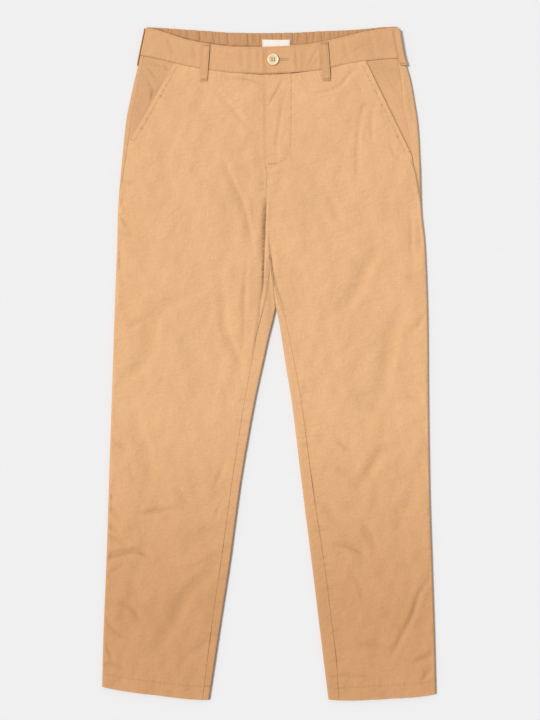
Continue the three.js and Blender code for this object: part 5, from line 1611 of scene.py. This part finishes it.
def stitch_row(line, height, length=2.3, gap=0.75, lift=0.16, points=5):
    """Stitches along a line of the plan, as rows of (x, down, z)."""
    line = np.asarray(line, float)
    steps = np.concatenate([[0], np.cumsum(np.hypot(*np.diff(line, axis=0).T))])
    starts = np.arange(0.5, steps[-1] - length, length + gap)
    places = starts[:, None] + np.linspace(0, length, points)[None]
    x, down = np.interp(places, steps, line[:, 0]), np.interp(places, steps, line[:, 1])
    z = height(np.stack([x.ravel(), down.ravel()], -1)).reshape(x.shape)
    arch = lift * np.sin(np.pi * np.linspace(0, 1, points)) ** 0.6 - 0.22 * (1 - np.sin(np.pi * np.linspace(0, 1, points)))
    return list(np.stack([x, down, z + arch[None]], -1))


def bar_tack(start, end, height, width=2.4, count=14):
    """A dense bar of short threads across a line from start to end."""
    start, end = np.array(start, float), np.array(end, float)
    along = end - start
    across = np.array([-along[1], along[0]]) / np.hypot(*along) * width / 2
    rows = []
    for k, t in enumerate(np.linspace(0, 1, count)):
        skew = (0.4 if k % 2 else -0.4) * along / count
        ends = [start + t * along + across + skew, start + t * along - across - skew]
        line = np.array([lerp(ends[0], ends[1], s) for s in np.linspace(0, 1, 5)])
        z = height(line) + np.array([-0.15, 0.2, 0.3, 0.2, -0.15])
        rows.append(np.column_stack([line, z]))
    return rows


# %% Stitch rows of the panels, bands, loops and label
def panel_stitches():
    rows = {"right": [], "left": []}
    for half, panel, back in ((RIGHT, front_right, back_right), (LEFT, front_left, back_left)):
        height, whole = surface_of(panel), surface_of(panel, back)
        lines = LINES[half.side]
        rows[half.side] += stitch_row(lines.topstitch, height)
        rows[half.side] += stitch_row(lines.hem, whole)
        foot_x, foot_down = half.mouth_foot
        inside = half.to_inside
        rows[half.side] += bar_tack((foot_x + inside * 1.5, foot_down - 9), (foot_x + inside * 6.5, foot_down - 6), whole, 1.6)
    height = surface_of(front_left)
    rows["left"] += stitch_row(FLY_STITCH, height) + stitch_row(FLY_EDGE_STITCH, height)
    rows["left"] += bar_tack((-1.0, 203.6), (11.0, 203.2), height, 1.5, 22)
    return rows


stitches = panel_stitches()
stitches_right = thread_tubes("stitches_front_right", stitches["right"], 0.24, seam_thread)
stitches_left = thread_tubes("stitches_front_left", stitches["left"], 0.24, seam_thread)


# %% Stitches of the bands, the loops and the label
def band_stitches():
    right_height, left_height = surface_of(band_right), surface_of(band_left)
    right = stitch_row(band_line(0, -188, -6, 2.2), right_height) + stitch_row(band_line(1, -191, -6, 1.2), right_height)
    left = stitch_row(band_line(0, -3.5, 193, 2.2), left_height) + stitch_row(band_line(1, -3.5, 202, 1.2), left_height)
    left += stitch_row(smooth_line([-3.5, 32, -3.5, 67.5]), left_height)
    return right, left


def buttonhole_stitches():
    """Close satin stitches round the slit, fanned at its outer end."""
    height = surface_of(band_left)
    hole, rows = BUTTONHOLE, []
    for x in np.arange(hole.left, hole.right - 1, 0.42):
        for side in (-1, 1):
            line = np.array([(x, hole.down + side * s) for s in np.linspace(0.35, hole.half_height, 5)])
            rows.append(np.column_stack([line, height(line) + np.array([-0.12, 0.08, 0.13, 0.08, -0.15])]))
    for angle in np.linspace(-1.4, 1.4, 11):
        reach = np.linspace(0.4, hole.half_height, 5)
        line = np.stack([hole.right - 1 + reach * np.cos(angle), hole.down + reach * np.sin(angle)], -1)
        rows.append(np.column_stack([line, height(line) + np.array([-0.12, 0.08, 0.13, 0.08, -0.15])]))
    return rows


def loop_stitches(loop, top, foot):
    height = surface_of(loop)
    rows = []
    for side in (-1, 1):
        off = side * (LOOP.width / 2 - 1.8)
        rows += stitch_row(smooth_line([top[0] + off, top[1] + 1.5, foot[0] + off, foot[1] - 1.5]), height, 2.1, 0.6)
    for place in (top[1] + 3.0, foot[1] - 2.6):
        x = np.interp(place, (top[1], foot[1]), (top[0], foot[0]))
        rows += bar_tack((x - 4.6, place), (x + 4.6, place), height, 2.0, 18)
    return rows


right_rows, left_rows = band_stitches()
stitches_band_right = thread_tubes("stitches_waistband_right", right_rows, 0.24, seam_thread)
stitches_band_left = thread_tubes("stitches_waistband_left", left_rows, 0.24, seam_thread)
stitches_hole = thread_tubes("stitches_buttonhole", buttonhole_stitches(), 0.24, seam_thread)
loop_rows = loop_stitches(loop_front_right, (-93, 24.5), (-97, 80)) + loop_stitches(loop_front_left, (82, 22), (86, 79.5))
side_height = surface_of(loop_side_left)
side_x = lambda down, inset: float(LEFT.outer(down)) - inset
loop_rows += stitch_row(smooth_line(np.ravel([(side_x(float(d), 7.7), d) for d in (5, 20, 35, 55.5)])), side_height, 2.1, 0.6)
loop_rows += bar_tack((side_x(54.0, 8.6), 54), (side_x(54.0, 0.6), 54), side_height, 2.0, 18)
stitches_loops = thread_tubes("stitches_belt_loops", loop_rows, 0.22, seam_thread)
label_height = surface_of(label)
label_rows = stitch_row(smooth_line([-8.2, 19.5, -8.2, 39]), label_height, 1.6, 0.6)
label_rows += stitch_row(smooth_line([30.2, 19.5, 30.2, 39]), label_height, 1.6, 0.6)
stitches_label = thread_tubes("stitches_label", label_rows, 0.16, label_thread)


# %% Thread in the button
def button_threads():
    """Two thick bars of thread through the four holes, each of a few strands."""
    middle = np.array([BUTTON.x, BUTTON.down])
    top = button_low[2] + 2.06
    rows = []
    for side in (-1, 1):
        for strand in (-0.3, 0.0, 0.3):
            line = np.array([middle + (side * 1.55 + strand, 1.45 * s + 0.15 * side) for s in np.linspace(-1, 1, 7)])
            z = top + np.array([-0.9, 0.25, 0.5, 0.55, 0.5, 0.25, -0.9]) - 0.12 * abs(strand)
            rows.append(np.column_stack([line, z]))
    return rows


stitches_button = thread_tubes("thread_button", button_threads(), 0.17, button_thread, sides=7)

# %% [markdown]
# ## Finishes, slots and stand-ins
# Each piece gets its material, rides on the one body, and stands for the CAD node of the same place, which is
# hidden. The pieces that stay hidden, the pocket bags, fly shield and zip tape, keep their CAD meshes with a cotton
# of their own.

# %% Materials, stand-ins and bodies
PIECES = [
    (front_right, panel_cotton, "cotton_twill", "front_right"), (front_left, panel_cotton, "cotton_twill", "front_left"),
    (back_right, panel_cotton, "cotton_twill", "back_right"), (back_left, panel_cotton, "cotton_twill", "back_left"),
    (facing_right, facing_cotton, "cotton_twill", "pocket_facing_right"),
    (facing_left, facing_cotton, "cotton_twill", "pocket_facing_left"),
    (band_back, gathered_cotton, "band_twill", "waistband_back"),
    (band_right, band_cotton, "band_twill", "waistband_front_right"),
    (band_left, band_cotton, "band_twill", "waistband_front_left"),
    (loop_front_right, loop_cotton, "band_twill", "belt_loop_front_right"),
    (loop_front_left, loop_cotton, "band_twill", "belt_loop_front_left"),
    (loop_side_left, loop_cotton, "band_twill", "belt_loop_side_left"),
    (loop_side_right, loop_cotton, "band_twill", "belt_loop_side_right"),
    (label, label_tape, "label_tape", "label"), (button, button_plastic, "button_plastic", "button"),
]
for piece, finish, slot, node in PIECES:
    piece.data.materials.clear()
    piece.data.materials.append(finish)
    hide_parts(node)
    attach(piece, "root")
for piece, slot in (
    (stitches_right, "cotton_twill"), (stitches_left, "cotton_twill"), (stitches_band_right, "band_twill"),
    (stitches_band_left, "band_twill"), (stitches_hole, "band_twill"), (stitches_loops, "band_twill"),
    (stitches_label, "label_tape"), (stitches_button, "button_plastic"),
):
    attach(piece, "root")
for node, finish in (
    ("pocket_bag_right", pocketing), ("pocket_bag_left", pocketing), ("zip_tape", pocketing), ("fly_shield", hidden_cotton),
):
    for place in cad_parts[node].material_slots:
        place.material = finish
print(f"{len(PIECES)} pieces stand for their nodes")

# %% [markdown]

# %% [markdown]
# ## Floor and light
# The garment lies on a plain pale surface under soft light from the left, with white light from all round. A wide
# sun gives the same light all over the picture, as a large studio lamp far away does.


# %% Pale floor, soft light
def pale_floor(size=12):
    made, n, shader = new_material("pale_paper")
    grain = n.noise(n.places("Object"), 120.0, 3.0)
    n.fill(shader, {
        "Base Color": n.mix(grain, (0.792, 0.792, 0.795, 1), (0.808, 0.808, 0.81, 1)),
        "Roughness": n.spread(grain, 0.3, 0.7, 0.85, 0.95), "Specular IOR Level": 0.1,
    })
    corners = [(-size, -size, 0), (size, -size, 0), (size, size, 0), (-size, size, 0)]
    floor = make_object("floor", corners, [np.array([[0, 1, 2, 3]])])
    floor.location.z = -0.0003
    floor.data.materials.append(made)
    floor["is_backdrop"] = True


def soft_light(key=2.35, fill=0.45, elevation=60.0, soft=17.0):
    world = bpy.data.worlds.new("white_room")
    world.use_nodes = True
    sheet = NodeSheet(world.node_tree)
    sheet.fill(world.node_tree.nodes["Background"], {"Color": (1, 1, 1, 1), "Strength": fill})
    bpy.context.scene.world = world
    lamp = bpy.data.lights.new("window_side", "SUN")
    lamp.energy, lamp.angle = key, np.radians(soft)
    sun = bpy.data.objects.new("window_side", lamp)
    sun.rotation_euler = (np.radians(-8), -np.radians(90 - elevation), 0)
    bpy.context.scene.collection.objects.link(sun)


pale_floor()
soft_light()
bpy.context.scene.view_settings.view_transform = "Standard"
bpy.context.scene.view_settings.look = "None"

# %% Sizes, and the end
bpy.context.view_layer.update()
triangles = {o.name: sum(len(p.vertices) - 2 for p in o.data.polygons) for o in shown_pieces() if o.type == "MESH"}
print(f"{sum(triangles.values())} triangles in all, most in one piece {max(triangles.values())}")
